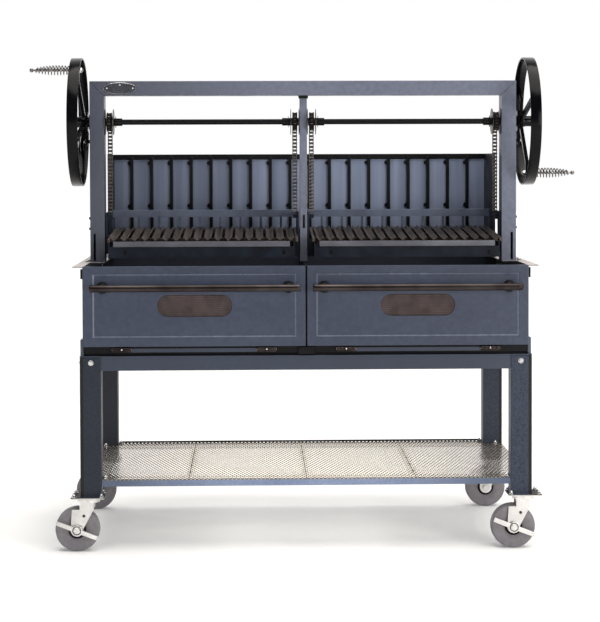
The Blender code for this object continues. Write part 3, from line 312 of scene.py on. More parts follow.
def wall_paint():
    """Blue side walls, pale tan along their tops."""
    surface = Surface("wall_paint")
    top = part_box("firebox_left_wall")[1].z
    cloud = surface.noise(8.0, 3.0)
    side = surface.tone(cloud, (0.055, 0.068, 0.102), (0.075, 0.09, 0.132))
    pale_top = surface.tone(cloud, (0.33, 0.285, 0.265), (0.52, 0.455, 0.42))
    surface.colour(surface.mix(surface.along("Z", top - PALE_TOP_DEPTH, top - 0.0006), side, pale_top))
    surface.rough(cloud, 0.3, 0.42)
    surface.bump(surface.noise(800.0, 1.0), PEEL_DEPTH)
    return surface


def mesh_steel():
    """Galvanised strands: pale on top, warmed cream as a painted glow and darker towards the ends as
    painted shade, and dark brown on their sheared sides as painted shade.
    """
    surface = Surface("mesh_steel", 0.9, 0.5)
    blotch = surface.noise(22.0, 3.0)
    spangle = surface.noise(260.0, 2.0)
    # the tops' warm cream is partly painted glow
    top = surface.tone(blotch, (0.95, 0.84, 0.67), (1.0, 0.91, 0.75))
    shaded_ends = surface.tone(blotch, (0.74, 0.65, 0.56), (0.88, 0.8, 0.71))
    # painted shade: the tops darker towards the ends
    top = surface.mix(surface.away("X", 0.25, 0.6), top, shaded_ends)
    # painted shade: the strands' sides dark brown
    edge = surface.tone(spangle, (0.04, 0.032, 0.028), (0.12, 0.1, 0.085))
    surface.colour(surface.mix(surface.upward(), edge, top))
    surface.rough(spangle, 0.16, 0.28)
    surface.bump(spangle, 0.00005, 0.4)
    return surface


def shelf_paint():
    """Shelf angles and bars in a lighter copy of the cart paint, brighter in the middle, both a painted
    reflection of the floor; their tops are pale under the deck and near black beyond it.
    """
    surface = Surface("shelf_paint", 0.0, 0.45)
    cloud = surface.span(surface.noise(3.0, 3.0), 0.0, 1.0)
    grit = surface.noise(GRIT)
    # a lighter copy of the cart paint, brightest in the middle: painted reflection of the floor
    centre = surface.mix(cloud, (0.175, 0.231, 0.37625), (0.27125, 0.3325, 0.49))
    ends = surface.mix(cloud, (0.07, 0.094, 0.15), (0.11, 0.138, 0.205))
    side = surface.mix(surface.away("X", 0.25, 0.62), centre, ends)
    side = surface.mix(surface.span(grit, 0.0, 0.4), side, (0.06, 0.08, 0.13))
    top = surface.mix(surface.away("Y", 0.372, 0.38), (0.62, 0.57, 0.5), (0.016, 0.018, 0.022))
    surface.colour(surface.mix(surface.upward(), side, top))
    surface.rough(grit, 0.4, 0.55)
    surface.bump(grit, 0.0003)
    return surface


def firebrick():
    """Cream fireclay with darker grog specks, pores and scorch."""
    surface = Surface("firebrick", 0.0, 0.2)
    grog = surface.cells(210.0)
    scorch = surface.noise(7.0, 4.0)
    clay = surface.tone(scorch, (0.52, 0.38, 0.25), (0.66, 0.54, 0.38))
    surface.colour(surface.mix(surface.span(grog, 0.0, 0.5, 0.55, 0.75), clay, (0.24, 0.15, 0.09)))
    surface.rough(scorch, 0.82, 0.95)
    surface.bump(surface.noise(320.0, 4.0, None, 0.7), 0.0012, 0.8)
    surface.bump(grog, 0.0006)
    return surface


def wheel_rubber():
    """Grey moulded caster tread with scuffs and fine dark specks."""
    surface = Surface("wheel_rubber", 0.0, 0.35)
    scuff = surface.noise(55.0, 5.0, None, 0.6)
    shade = surface.tone(scuff, (0.185, 0.17, 0.185), (0.25, 0.235, 0.25))
    surface.colour(surface.mix(surface.span(surface.noise(700.0), 0.0, 0.25), shade, (0.07, 0.065, 0.07)))
    surface.rough(scuff, 0.52, 0.7)
    surface.bump(surface.noise(500.0, 3.0), 0.0003, 0.6)
    return surface


def vent_bronze():
    """Oiled brown sheet with heat tint."""
    surface = Surface("vent_bronze", 0.55, 0.5)
    tint = surface.noise(30.0, 4.0)
    surface.colour(surface.tone(tint, (0.056, 0.038, 0.035), (0.125, 0.09, 0.083)))
    surface.rough(tint, 0.4, 0.58)
    surface.bump(surface.noise(800.0, 2.0), 0.0002)
    return surface


# dark and light shade, roughness, specular, painted shade to the left, scale of the mottling
PAINTS = {
    "blue_paint": ((0.062, 0.076, 0.114), (0.08, 0.096, 0.14), 0.36),
    # door_paint is a darker copy of the blue paint: painted shade on the doors
    "door_paint": ((0.037, 0.047, 0.081), (0.046, 0.058, 0.097), 0.38, 0.45),
    # edge_paint is a lighter copy of the blue paint: painted highlight on the panel edges
    "edge_paint": ((0.085, 0.105, 0.16), (0.115, 0.14, 0.205), 0.26),
    # post_paint is a lighter copy of the blue paint, painted light, with painted shade to the left
    "post_paint": ((0.15, 0.168, 0.232), (0.175, 0.192, 0.258), 0.36, 0.5, (-0.75, -0.1, 0.38)),
    "cart_paint": ((0.024, 0.034, 0.06), (0.035, 0.048, 0.079), 0.48, 0.5, None, GRIT),
    "black_paint": ((0.004, 0.004, 0.005), (0.008, 0.008, 0.01), 0.36, 0.15),
    "wheel_gloss": ((0.002, 0.002, 0.003), (0.004, 0.004, 0.005), 0.13, 0.12),
}

# dark and light shade, roughness, stretch of the grain, its scale, spread of roughness
METALS = {
    "bronze": ((0.028, 0.022, 0.022), (0.062, 0.052, 0.05), 0.34, LONG_X),
    "chain_steel": ((0.075, 0.064, 0.058), (0.29, 0.255, 0.235), 0.42, None, 160.0),
    "tray_steel": ((0.14, 0.141, 0.165), (0.215, 0.216, 0.246), 0.42, LONG_X, 120.0),
    "zinc": ((0.64, 0.625, 0.61), (0.88, 0.865, 0.845), 0.36, None, 45.0),
    "bright_steel": ((0.56, 0.555, 0.55), (0.74, 0.735, 0.73), 0.22, None, 200.0, 0.06),
    # coil_steel is a darker copy of the bright steel: painted shade in the coils
    "coil_steel": ((0.16, 0.152, 0.15), (0.3, 0.29, 0.285), 0.24, None, 200.0, 0.06),
    "badge_plate": ((0.06, 0.064, 0.078), (0.15, 0.155, 0.175), 0.4, LONG_X, 160.0),
}

SURFACES = {name: paint(name, *look) for name, look in PAINTS.items()}
SURFACES.update((name, worked_metal(name, *look)) for name, look in METALS.items())
for make in (shield_paint, wall_paint, shelf_paint, mesh_steel, grate_steel, firebrick,
             wheel_rubber, vent_bronze, carriage_paint, leg_paint):
    SURFACES[make.__name__] = make()


def material(name):
    return SURFACES[name].material


# ---- shapes

def add_ring(shape, axis, centre, radius, level, segments):
    first, second, along = AXES[axis]
    ring = []
    for n in range(segments if radius > 0 else 1):
        angle = 2 * pi * n / segments
        point = list(centre)
        point[first] += radius * cos(angle)
        point[second] += radius * sin(angle)
        point[along] = level
        ring.append(shape.verts.new(point))
    return ring


def bridge(shape, here, there):
    count = max(len(here), len(there))
    for n in range(count):
        after = (n + 1) % count
        loop = [here[n % len(here)], here[after % len(here)],
                there[after % len(there)], there[n % len(there)]]
        shape.faces.new(list(dict.fromkeys(loop)))


def add_lathe(shape, profile, axis, centre, segments=48):
    """Turn (radius, place along the axis) points: a closed loop, or a line with both ends on the axis."""
    rings = [add_ring(shape, axis, centre, radius, level, segments) for radius, level in profile]
    for here, there in zip(rings, rings[1:]):
        bridge(shape, here, there)
    if profile[0][0] > 0:
        bridge(shape, rings[-1], rings[0])


def add_prism(shape, outline, axis, low, high):
    first, second, along = AXES[axis]
    ends = []
    for level in (low, high):
        ring = []
        for a, b in outline:
            point = [0.0, 0.0, 0.0]
            point[first], point[second], point[along] = a, b, level
            ring.append(shape.verts.new(point))
        ends.append(ring)
        shape.faces.new(ring)
    bridge(shape, *ends)


def add_block(shape, low, high):
    corners = [(low[0], low[1]), (high[0], low[1]), (high[0], high[1]), (low[0], high[1])]
    add_prism(shape, corners, "Z", low[2], high[2])


def add_tube(shape, points, radius, sides=8):
    """Round bar along a line of points, closed by flat ends."""
    points = [Vector(point) for point in points]
    side = None
    rings = []
    for n, point in enumerate(points):
        ahead = (points[min(n + 1, len(points) - 1)] - points[max(n - 1, 0)]).normalized()
        if side is None:
            side = ahead.orthogonal().normalized()
        side = (side - ahead * side.dot(ahead)).normalized()
        up = ahead.cross(side)
        rings.append([shape.verts.new(point + radius * (side * cos(2 * pi * k / sides)
                                                        + up * sin(2 * pi * k / sides)))
                      for k in range(sides)])
    for here, there in zip(rings, rings[1:]):
        bridge(shape, here, there)
    shape.faces.new(rings[0])
    shape.faces.new(rings[-1])


def arc(centre, radius, start, stop, steps):
    return [(centre[0] + radius * cos(radians(start + (stop - start) * n / steps)),
             centre[1] + radius * sin(radians(start + (stop - start) * n / steps)))
            for n in range(steps + 1)]


def chamfered(radius, low, high, edge=0.0):
    """Profile of a round bar with broken edges."""
    return [(0, low), (radius - edge, low), (radius, low + edge), (radius, high - edge),
            (radius - edge, high), (0, high)]


def toothed(teeth, points):
    """Outline round the lift shaft: (radius, share of a tooth) points, the same for every tooth."""
    outline = []
    for n in range(teeth):
        for radius, share in points:
            angle = 2 * pi * (n + share) / teeth
            outline.append((SHAFT.y + radius * cos(angle), SHAFT.z + radius * sin(angle)))
    return outline


def rounded_ring(inner, outer, low, high, edge):
    """Closed profile of a flat ring with rounded edges."""
    profile = []
    for centre, start in (((outer - edge, high - edge), 0), ((inner + edge, high - edge), 90),
                          ((inner + edge, low + edge), 180), ((outer - edge, low + edge), 270)):
        profile += arc(centre, edge, start, start + 90, 3)
    return profile


def add_bolt(shape, foot, axis, sign, across=0.013, height=0.006, shank=0.0):
    """Hexagon head or nut on a washer, with a stub of thread past it if shank is given."""
    level = foot[AXES[axis][2]]
    washer, thick = across * 0.72, 0.0012
    radius, stub = across / sqrt(3), across * 0.28
    top = thick + height
    turned = [([(0, 0), (washer, 0), (washer, thick), (0, thick)], 20),
              ([(0, thick), (radius, thick), (radius, top - height * 0.2), (radius * 0.86, top),
                (0, top)], 6)]
    if shank:
        turned.append(([(0, top), (stub, top), (stub, top + shank * 0.8),
                        (across * 0.22, top + shank), (0, top + shank)], 12))
    for profile, segments in turned:
        add_lathe(shape, [(r, level + sign * out) for r, out in profile], axis, foot, segments)


def add_rivet(shape, foot, axis, sign, radius, height):
    level = foot[AXES[axis][2]]
    profile = [(0, level)]
    for x, z in arc((0, 0), 1.0, 0, 90, 4):
        profile.append((radius * max(x, 0.0), level + sign * height * z))
    profile[-1] = (0, profile[-1][1])
    add_lathe(shape, profile, axis, foot, 16)


# ---- pieces

def add_object(name, data):
    item = bpy.data.objects.new(name, data)
    bpy.context.scene.collection.objects.link(item)
    return item


def add_bevel(item, width):
    modifier = item.modifiers.new("soft_edges", "BEVEL")
    modifier.width = width
    modifier.segments = 2
    modifier.limit_method = "ANGLE"
    modifier.angle_limit = radians(40)
    modifier.harden_normals = False


def make_piece(name, shape, body, slot, surface=None, bevel=0.0):
    """Finish a shape as a piece that rides on a body, or on none."""
    bmesh.ops.recalc_face_normals(shape, faces=shape.faces)
    mesh = bpy.data.meshes.new(name)
    shape.to_mesh(mesh)
    shape.free()
    item = add_object(name, mesh)
    mesh.materials.append(material(surface or slot))
    mesh.shade_smooth()
    mesh.set_sharp_from_angle(angle=radians(38))
    if bevel:
        add_bevel(item, bevel)
    if body is not None:
        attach(item, body)
    return item


# surfaces and edge radii of the CAD nodes that stay, by the start of their names
NODE_SURFACES = {"back_shield": "shield_paint", "shelf_frame": "shelf_paint", "leg": "leg_paint",
                 # the divider is black as painted shade inside the firebox
                 "firebox_back": "cart_paint", "firebox_divider": "black_paint",
                 "firebox_left": "wall_paint", "firebox_right": "wall_paint",
                 "door_left": "door_paint", "door_right": "door_paint", "post": "post_paint",
                 "top_beam": "post_paint", "carriage": "carriage_paint"}
EDGE_WIDTHS = {"leg": 0.0045, "post": 0.0055, "top": 0.0055, "cart": 0.0012, "shelf": 0.0008,
               "door": 0.0022, "firebox": 0.0007, "back": 0.0007, "rib": 0.0015,
               "carriage": 0.0008, "grate": 0.0005, "drip": 0.0006, "firebrick": 0.0008,
               "caster": 0.001, "brake": 0.0014, "pawl": 0.001}


def soften_cad_nodes():
    """Procedural material and rounded edges on every CAD node that stays."""
    for name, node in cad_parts.items():
        slot = next(s.material.name.split(".")[0] for s in node.material_slots)
        node.data.materials.clear()
        looks = [look for start, look in NODE_SURFACES.items() if name.startswith(start)]
        node.data.materials.append(material(looks[0] if looks else slot))
        width = EDGE_WIDTHS.get(name.split("_")[0])
        if width is None or node.hide_render:
            continue
        weld = node.modifiers.new("weld", "WELD")
        weld.merge_threshold = 0.00002
        flatten = node.modifiers.new("flatten", "DECIMATE")
        flatten.decimate_type = "DISSOLVE"
        flatten.angle_limit = radians(1)
        add_bevel(node, width)


# ---- shelf deck

DECK_SHORT_WAY = 0.014       # diamond across the cart
DECK_LONG_WAY = 0.044        # diamond front to back
DECK_STRAND = 0.0034
DECK_SEAMS = (-0.398, 0.0, 0.371)
DECK_MARGIN = 0.004          # from the frame's front and rear edges
DECK_NOTCH = (0.0717, 0.0595)   # round the legs, across and front to back
SEAM_TABS = 5
SEAM_TAB_PITCH = 0.14


def make_expanded_deck():
    """Expanded metal: zigzag strands that meet their neighbours at every bond."""
    low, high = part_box("shelf_mesh")
    leg_inner = high.x - DECK_NOTCH[0]
    near, far = low.y + DECK_NOTCH[1], high.y - DECK_NOTCH[1]
    spacing = DECK_SHORT_WAY / 2
    swing = (spacing - DECK_STRAND * 0.85) / 2
    count = int((high.x - low.x - DECK_STRAND) / spacing)
    vertices, faces = [], []
    for line in range(count + 1):
        centre = (line - count / 2) * spacing
        beside_leg = abs(centre) > leg_inner - spacing / 2
        start, stop = (near, far) if beside_leg else (low.y + DECK_MARGIN, high.y - DECK_MARGIN)
        steps = int(round((stop - start) / (DECK_LONG_WAY / 2)))
        base = len(vertices)
        shift = round((start - low.y) / (DECK_LONG_WAY / 2))
        for n in range(steps + 1):
            y = start + (stop - start) * n / steps
            x = centre + swing * (1 if (n + line + shift) % 2 else -1)
            x = min(max(x, low.x + DECK_STRAND / 2), high.x - DECK_STRAND / 2)
            for dx, z in ((-1, low.z), (1, low.z), (1, high.z), (-1, high.z)):
                vertices.append((x + dx * DECK_STRAND / 2, y, z))
        for n in range(steps):
            here, there = base + 4 * n, base + 4 * (n + 1)
            for k in range(4):
                after = (k + 1) % 4
                faces.append((here + k, here + after, there + after, there + k))
        faces.append((base + 3, base + 2, base + 1, base))
        last = base + 4 * steps
        faces.append((last, last + 1, last + 2, last + 3))
    mesh = bpy.data.meshes.new("expanded_deck")
    mesh.from_pydata(vertices, [], faces)
    mesh.materials.append(material("mesh_steel"))
    deck = add_object("expanded_deck", mesh)
    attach(deck, "cart")
    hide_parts("shelf_mesh")


def make_deck_trim():
    """Dark seams with welded tabs between the deck's sheets, and its rear lip."""
    low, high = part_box("shelf_mesh")
    shape = bmesh.new()
    for x in DECK_SEAMS:
        add_block(shape, (x - 0.0012, low.y + 0.006, low.z), (x + 0.0012, high.y - 0.006, high.z))
        for n in range(SEAM_TABS):
            y = low.y + 0.12 + n * SEAM_TAB_PITCH
            add_block(shape, (x - 0.003, y, low.z), (x + 0.003, y + 0.022, high.z))
    make_piece("deck_seams", shape, "cart", "mesh_steel", "black_paint")
    shape = bmesh.new()
    end = high.x - 0.075
    add_block(shape, (-end, high.y - 0.0035, high.z), (end, high.y - 0.0005, high.z + 0.0065))
    make_piece("deck_rear_lip", shape, "cart", "mesh_steel", "black_paint")


# ---- casters

def make_caster_details(end, side):
    """Wheel with a rounded tread, its seals, and the fork's nuts, rivets and ball races."""
    corner = "%s_%s" % (end, side)
    axle = middle("caster_wheel_" + corner)
    low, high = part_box("caster_wheel_" + corner)
    radius, half = (high.z - low.z) / 2, (high.y - low.y) / 2

    shape = bmesh.new()
    hub = 0.031
    face = [(0.0072, half - 0.004), (hub - 0.003, half - 0.004), (hub, half - 0.0015),
            (hub + 0.002, half - 0.0004), (radius - 0.007, half), (radius - 0.0025, half - 0.0018),
            (radius - 0.0006, half - 0.005), (radius, half - 0.0095)]
    profile = face + [(r, -level) for r, level in reversed(face)]
    add_lathe(shape, [(r, axle.y + level) for r, level in profile], "Y", axle, 72)
    wheel = make_piece("tyre_" + corner, shape, "wheel_" + corner, "wheel_rubber")
    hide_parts("caster_wheel_" + corner)

    shape = bmesh.new()
    seal = [(0.008, half - 0.0035), (0.012, half + 0.0012), (0.0275, half + 0.0012),
            (0.03, half - 0.0005), (0.03, half - 0.0035)]
    for sign in (-1, 1):
        add_lathe(shape, [(r, axle.y + sign * level) for r, level in seal], "Y", axle, 40)
    make_piece("hub_seal_" + corner, shape, "wheel_" + corner, "wheel_rubber", "black_paint")
    if end == "front":
        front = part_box("brake_lever_" + corner)[0].y
        shape = bmesh.new()
        ring = rounded_ring(0.0122, 0.015, front - 0.0007, front + 0.0006, 0.0003)
        add_lathe(shape, ring, "Y", axle, 32)
        make_piece("lever_ring_" + corner, shape, "brake_" + corner, "zinc", "black_paint")

    fork_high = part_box("caster_fork_" + corner)[1]
    centre = Vector((fork_high.x - 0.039, axle.y, 0))
    top = fork_high.z
    shape = bmesh.new()
    for sign in (-1, 1):
        add_bolt(shape, (axle.x, axle.y + sign * 0.0376, axle.z), "Y", sign, 0.021, 0.009)
        add_rivet(shape, (axle.x, axle.y + sign * 0.0336, axle.z + 0.0135), "Y", sign,
                  0.0052, 0.0025)
    for inner, outer, bottom, above, edge in ((0.02, 0.0415, 0.0055, 0.0003, 0.0015),
                                              (0.018, 0.0375, 0.0135, 0.0062, 0.0022)):
        race = rounded_ring(inner, outer, top - bottom, top - above, edge)
        add_lathe(shape, race, "Z", centre, 48)
    add_rivet(shape, (centre.x, axle.y - 0.0385, top - 0.0075), "Y", -1, 0.0045, 0.0022)
    make_piece("caster_trim_" + corner, shape, "swivel_" + corner, "zinc")


def make_plate_bolts():
    """Four bolts through each caster plate into the leg's plate."""
    shape = bmesh.new()
    for end, side in CORNERS:
        low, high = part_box("leg_%s_%s" % (end, side))
        for x in (low.x + 0.011, high.x - 0.011):
            for y in (low.y + 0.01, high.y - 0.01):
                add_bolt(shape, (x, y, low.z + 0.006), "Z", 1, shank=0.004)
    make_piece("plate_bolts", shape, "cart", "zinc", "bright_steel")


# ---- chain lifts

def add_link(shape, first, second, wide):
    """One chain link between two pins that lie along X: two waisted side plates."""
    first, second = Vector(first), Vector(second)
    along = (second - first).normalized()
    across = Vector((0, -along.z, along.y))
    plate, reach = 0.0016, (0.0076 if wide else 0.0058)
    waist = (first + second) / 2
    outline = []
    for centre, start, bend in ((second, -90, 0.0042), (first, 90, -0.0042)):
        for x, z in arc((0, 0), 0.0058, start, start + 180, 6):
            outline.append(centre + along * x + across * z)
        outline.append(waist + across * bend)
    for sign in (-1, 1):
        level = first.x + sign * reach
        add_prism(shape, [(p.y, p.z) for p in outline], "X", level - sign * plate / 2,
                  level + sign * plate / 2)


def add_pin(shape, centre):
    """Pin through a chain, with its roller."""
    x = centre[0]
    half = 0.0085
    add_lathe(shape, [(0, x - half), (0.0018, x - half), (0.0018, x + half), (0, x + half)],
              "X", centre, 8)
    roller = [(0.0022, x - 0.0048), (0.0041, x - 0.0048), (0.0041, x + 0.0048), (0.0022, x + 0.0048)]
    add_lathe(shape, roller, "X", centre, 12)


def make_chain(side, name):
    """Chain round the sprocket, and the run that hangs from it."""
    ending = "%s_%s" % (side, name)
    node = "chain_" + ending
    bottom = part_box(node)[0].z
    x = middle(node).x
    y = SHAFT.y + CHAIN_RADIUS
    shape = bmesh.new()
    links = int((SHAFT.z - bottom) / CHAIN_PITCH)
    pins = [(x, y, SHAFT.z - n * CHAIN_PITCH) for n in range(links + 1)]
    for n, (here, there) in enumerate(zip(pins, pins[1:])):
        add_link(shape, here, there, n % 2 == 0)
        add_pin(shape, there)
    run = make_piece("chain_run_" + ending, shape, None, "chain_steel")
    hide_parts(node)
    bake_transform(run)

    shape = bmesh.new()
    ring = [(x, y, z) for y, z in toothed(CHAIN_TEETH, [(CHAIN_RADIUS, 0.0)])]
    for n in range(CHAIN_TEETH):
        add_link(shape, ring[n], ring[(n + 1) % CHAIN_TEETH], n % 2 == 0)
        add_pin(shape, ring[n])
    # the chain round the sprocket is black paint, as painted shade
    make_piece("chain_wrap_" + ending, shape, "shaft_" + side, "chain_steel", "black_paint")


def make_spool(side, sign, name):
    """Sprocket, guide discs, sleeve and thrust washer, turned finely."""
    ending = "%s_%s" % (side, name)
    x = middle("chain_" + ending).x
    inwards = sign * (1 if name == "inner" else -1)

    def turn(shape, profile, segments):
        add_lathe(shape, [(r, x + inwards * level) for r, level in profile], "X", SHAFT, segments)

    shape = bmesh.new()
    half = [(0.0135, 0.013), (0.014, 0.0137), (0.0455, 0.0137), (0.046, 0.0145),
            (0.0455, 0.0153), (0.0098, 0.0153)]
    turn(shape, [(r, -level) for r, level in reversed(half)] + half, 64)
    sleeve = bmesh.new()
    turn(sleeve, [(0.0098, 0.0154), (0.0128, 0.0154), (0.0135, 0.016), (0.0135, 0.044),
                  (0.0127, 0.045), (0.0098, 0.045)], 40)
    turn(sleeve, [(0.0136, 0.0215), (0.02, 0.0215), (0.02, 0.0228), (0.0136, 0.0228)], 40)
    make_piece("spool_sleeve_" + ending, sleeve, "shaft_" + side, "chain_steel", "black_paint")
    tooth = [(0.0246, -0.16), (0.0246, 0.16), (0.03, 0.36), (0.0318, 0.44), (0.0318, 0.56),
             (0.03, 0.64)]
    add_prism(shape, toothed(CHAIN_TEETH, tooth), "X", x - 0.0036, x + 0.0036)
    spool = make_piece("spool_" + ending, shape, "shaft_" + side, "chain_steel")
    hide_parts("sprocket_" + ending)


def make_shaft(side):
    low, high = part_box("shaft_" + side)
    shape = bmesh.new()
    add_lathe(shape, chamfered(SHAFT_RADIUS, low.x, high.x, 0.0012), "X", SHAFT, 40)
    shaft = make_piece("lift_shaft_" + side, shape, "shaft_" + side, "black_paint")
    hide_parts("shaft_" + side)

    low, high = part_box("bearing_" + side)
    shape = bmesh.new()
    add_lathe(shape, rounded_ring(0.0102, 0.026, low.x, high.x, 0.0008), "X", SHAFT, 48)
    bearing = make_piece("shaft_bearing_" + side, shape, "cart", "black_paint")
    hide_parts("bearing_" + side)


SPOKES = 3
SPOKE_HALF_WIDTH = 0.0104
RATCHET_TEETH = 12


def make_hand_wheel(side, sign):
    """Rolled flat rim, dished spokes, stepped hub, ratchet ring and the handle's nut."""
    node = "hand_wheel_" + side
    low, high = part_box(node)
    radius = (high.z - low.z) / 2
    outer = outermost(node)
    shape = bmesh.new()
    ends = sorted((sign * (outer - 0.04), sign * (outer - 0.002)))
    add_lathe(shape, rounded_ring(radius - 0.006, radius, *ends, 0.0018), "X", SHAFT, 144)
    hub = [(0.01, 0.7545), (0.018, 0.7545), (0.018, 0.7665), (0.0195, 0.7675), (0.0205, 0.77),
           (0.0205, 0.785), (0.019, 0.787), (0.019, outer - 0.0015), (0.0175, outer),
           (0.01, outer)]
    add_lathe(shape, [(r, sign * x) for r, x in hub], "X", SHAFT, 48)
    tooth = [(0.033, 0.0), (0.033, 0.3), (0.04, 0.66), (0.04, 0.88)]
    add_prism(shape, toothed(RATCHET_TEETH, tooth), "X", *sorted((sign * 0.757, sign * 0.765)))
    spokes = bmesh.new()
    side_view = [(0.015, 0.7665), (0.145, 0.7875), (radius - 0.003, 0.7875),
                 (radius - 0.003, 0.7995), (0.143, 0.7995), (0.015, 0.7785)]
    for n in range(SPOKES):
        angle = radians(-90 * sign + 360 / SPOKES * n)
        along = Vector((0, cos(angle), sin(angle)))
        across = Vector((0, -sin(angle), cos(angle)))
        ends = []
        for half in (-SPOKE_HALF_WIDTH, SPOKE_HALF_WIDTH):
            ring = [spokes.verts.new(Vector((sign * x, SHAFT.y, SHAFT.z)) + along * reach
                                     + across * half) for reach, x in side_view]
            ends.append(ring)
            spokes.faces.new(ring)
        bridge(spokes, *ends)
    wheel = make_piece("wheel_rim_" + side, shape, "shaft_" + side, "wheel_gloss")
    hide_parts(node)
    make_piece("wheel_spokes_" + side, spokes, "shaft_" + side, "wheel_gloss", bevel=0.0015)

    handle_z = middle("coil_handle_" + side).z
    shape = bmesh.new()
    add_bolt(shape, (sign * 0.7873, SHAFT.y, handle_z), "X", -sign, 0.017, 0.008, 0.003)
    make_piece("handle_nut_" + side, shape, "shaft_" + side, "bright_steel")


def make_coil_handle(side, sign):
    """Open spring coil that swells towards the middle, on a rod with a ball end."""
    node = "coil_handle_" + side
    low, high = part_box(node)
    start, stop = sorted((abs(low.x), abs(high.x)))
    z = (low.z + high.z) / 2
    wire, turns, steps = 0.0021, 13, 20
    coil_length = (stop - start) * 0.86
    points = []
    for n in range(turns * steps + 1):
        share = n / (turns * steps)
        swell = sin(pi * min(1.0, 0.12 + 0.86 * share)) ** 0.8
        orbit = 0.0055 + 0.0108 * swell
        angle = 2 * pi * turns * share
        points.append((sign * (start + wire + coil_length * share),
                       SHAFT.y + orbit * cos(angle), z + orbit * sin(angle)))
    shape = bmesh.new()
    add_tube(shape, points, wire)
    thick, thin, ball = 0.0048, 0.0035, 0.0075
    rod = [(0, start), (thick, start), (thick, start + coil_length),
           (thin, start + coil_length + 0.004), (thin, stop - 0.013)]
    rod += [(max(r, 0.0), level) for level, r in arc((stop - ball, 0), ball, 150, 0, 8)]
    rod[-1] = (0, stop)
    add_lathe(shape, [(r, sign * x) for r, x in rod], "X", (0, SHAFT.y, z), 24)
    # the coil takes the darker copy of the bright steel, as painted shade
    handle = make_piece("spring_handle_" + side, shape, "shaft_" + side, "bright_steel", "coil_steel")
    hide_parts(node)


# ---- doors

STANDOFF_PLACES = (0.0605, 0.685)
PANEL_BORDER = 0.031
PANEL_TOP_BORDER = 0.026
HINGE_PLACES = (0.134, 0.6215)
HINGE_Z = 0.684
HINGE_RADIUS = 0.0065
HINGE_LENGTH = 0.064
KNUCKLES = 5
VENT_SIZE = (0.252, 0.074)
VENT_Z = 0.831


def make_door_bar(side, sign):
    """Round bar with end ferrules on two stepped standoffs."""
    node = "door_handle_" + side
    low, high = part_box(node)
    radius = 0.0127
    y, z = low.y + radius, middle(node).z
    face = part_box("door_" + side)[0].y
    shape = bmesh.new()
    half = [(0, 0), (radius - 0.003, 0), (radius - 0.0008, 0.0012), (radius, 0.003),
            (radius, 0.018), (radius - 0.0007, 0.0188)]
    profile = ([(r, low.x + level) for r, level in half]
               + [(r, high.x - level) for r, level in reversed(half)])
    add_lathe(shape, profile, "X", (0, y, z), 48)
    bar = make_piece("door_bar_" + side, shape, "door_" + side, "bronze")
    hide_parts(node)
    shape = bmesh.new()
    profile = [(0, face - 0.0003), (0.02, face - 0.0003), (0.0205, face - 0.001),
               (0.0195, face - 0.004), (0.012, face - 0.0065), (0.0095, face - 0.009),
               (0.0095, y + 0.006), (0, y + 0.006)]
    for x in STANDOFF_PLACES:
        add_lathe(shape, profile, "Y", (sign * x, 0, z), 36)
    make_piece("bar_standoffs_" + side, shape, "door_" + side, "bronze", "black_paint")


def make_vent_screen(side):
    """Perforated sheet behind the door's vent, with round holes in staggered rows."""
    centre = middle("door_" + side)
    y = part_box("door_" + side)[0].y + 0.0062
    pitch, hole, margin = 0.0072, 0.0025, 0.005
    length, height = VENT_SIZE[0] + 2 * margin, VENT_SIZE[1] + 2 * margin
    row_step = pitch * sqrt(3) / 2
    rows = int(height / row_step)
    columns = int(length / pitch)
    shape = bmesh.new()

    def hexagon(x, z, radius):
        return [shape.verts.new((x + radius * sin(pi * k / 3), y,
                                 z + radius * cos(pi * k / 3))) for k in range(6)]

    for row in range(rows + 1):
        z = VENT_Z + (row - rows / 2) * row_step
        for column in range(columns + 1):
            x = centre.x + (column - columns / 2 + (row % 2) / 2) * pitch
            past = max(0.0, abs(x - centre.x) - (length - height) / 2)
            if hypot(past, z - VENT_Z) <= height / 2 - pitch / 2:
                bridge(shape, hexagon(x, z, pitch / sqrt(3)), hexagon(x, z, hole))
    bmesh.ops.remove_doubles(shape, verts=shape.verts, dist=0.00002)
    screen = make_piece("vent_screen_" + side, shape, "door_" + side, "bronze", "vent_bronze")
    thickness = screen.modifiers.new("thickness", "SOLIDIFY")
    thickness.thickness = 0.001
    thickness.offset = 0.0


def make_panel_edges(side):
    """Sloping step round the door's recessed panel, in a lighter copy of the blue paint as a painted
    highlight.
    """
    low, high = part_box("door_" + side)
    left, right = low.x + PANEL_BORDER, high.x - PANEL_BORDER
    bottom, top = low.z + PANEL_BORDER, high.z - PANEL_TOP_BORDER
    face, floor, run = low.y + 0.0001, low.y + 0.0025, 0.0045
    shape = bmesh.new()
    for z, step in ((bottom, run), (top, -run)):
        add_prism(shape, [(face, z), (floor, z + step), (floor, z)], "X", left, right)
    for x, step in ((left, run), (right, -run)):
        add_prism(shape, [(x, face), (x + step, floor), (x, floor)], "Z", bottom, top)
    make_piece("panel_edges_" + side, shape, "door_" + side, "blue_paint", "edge_paint")


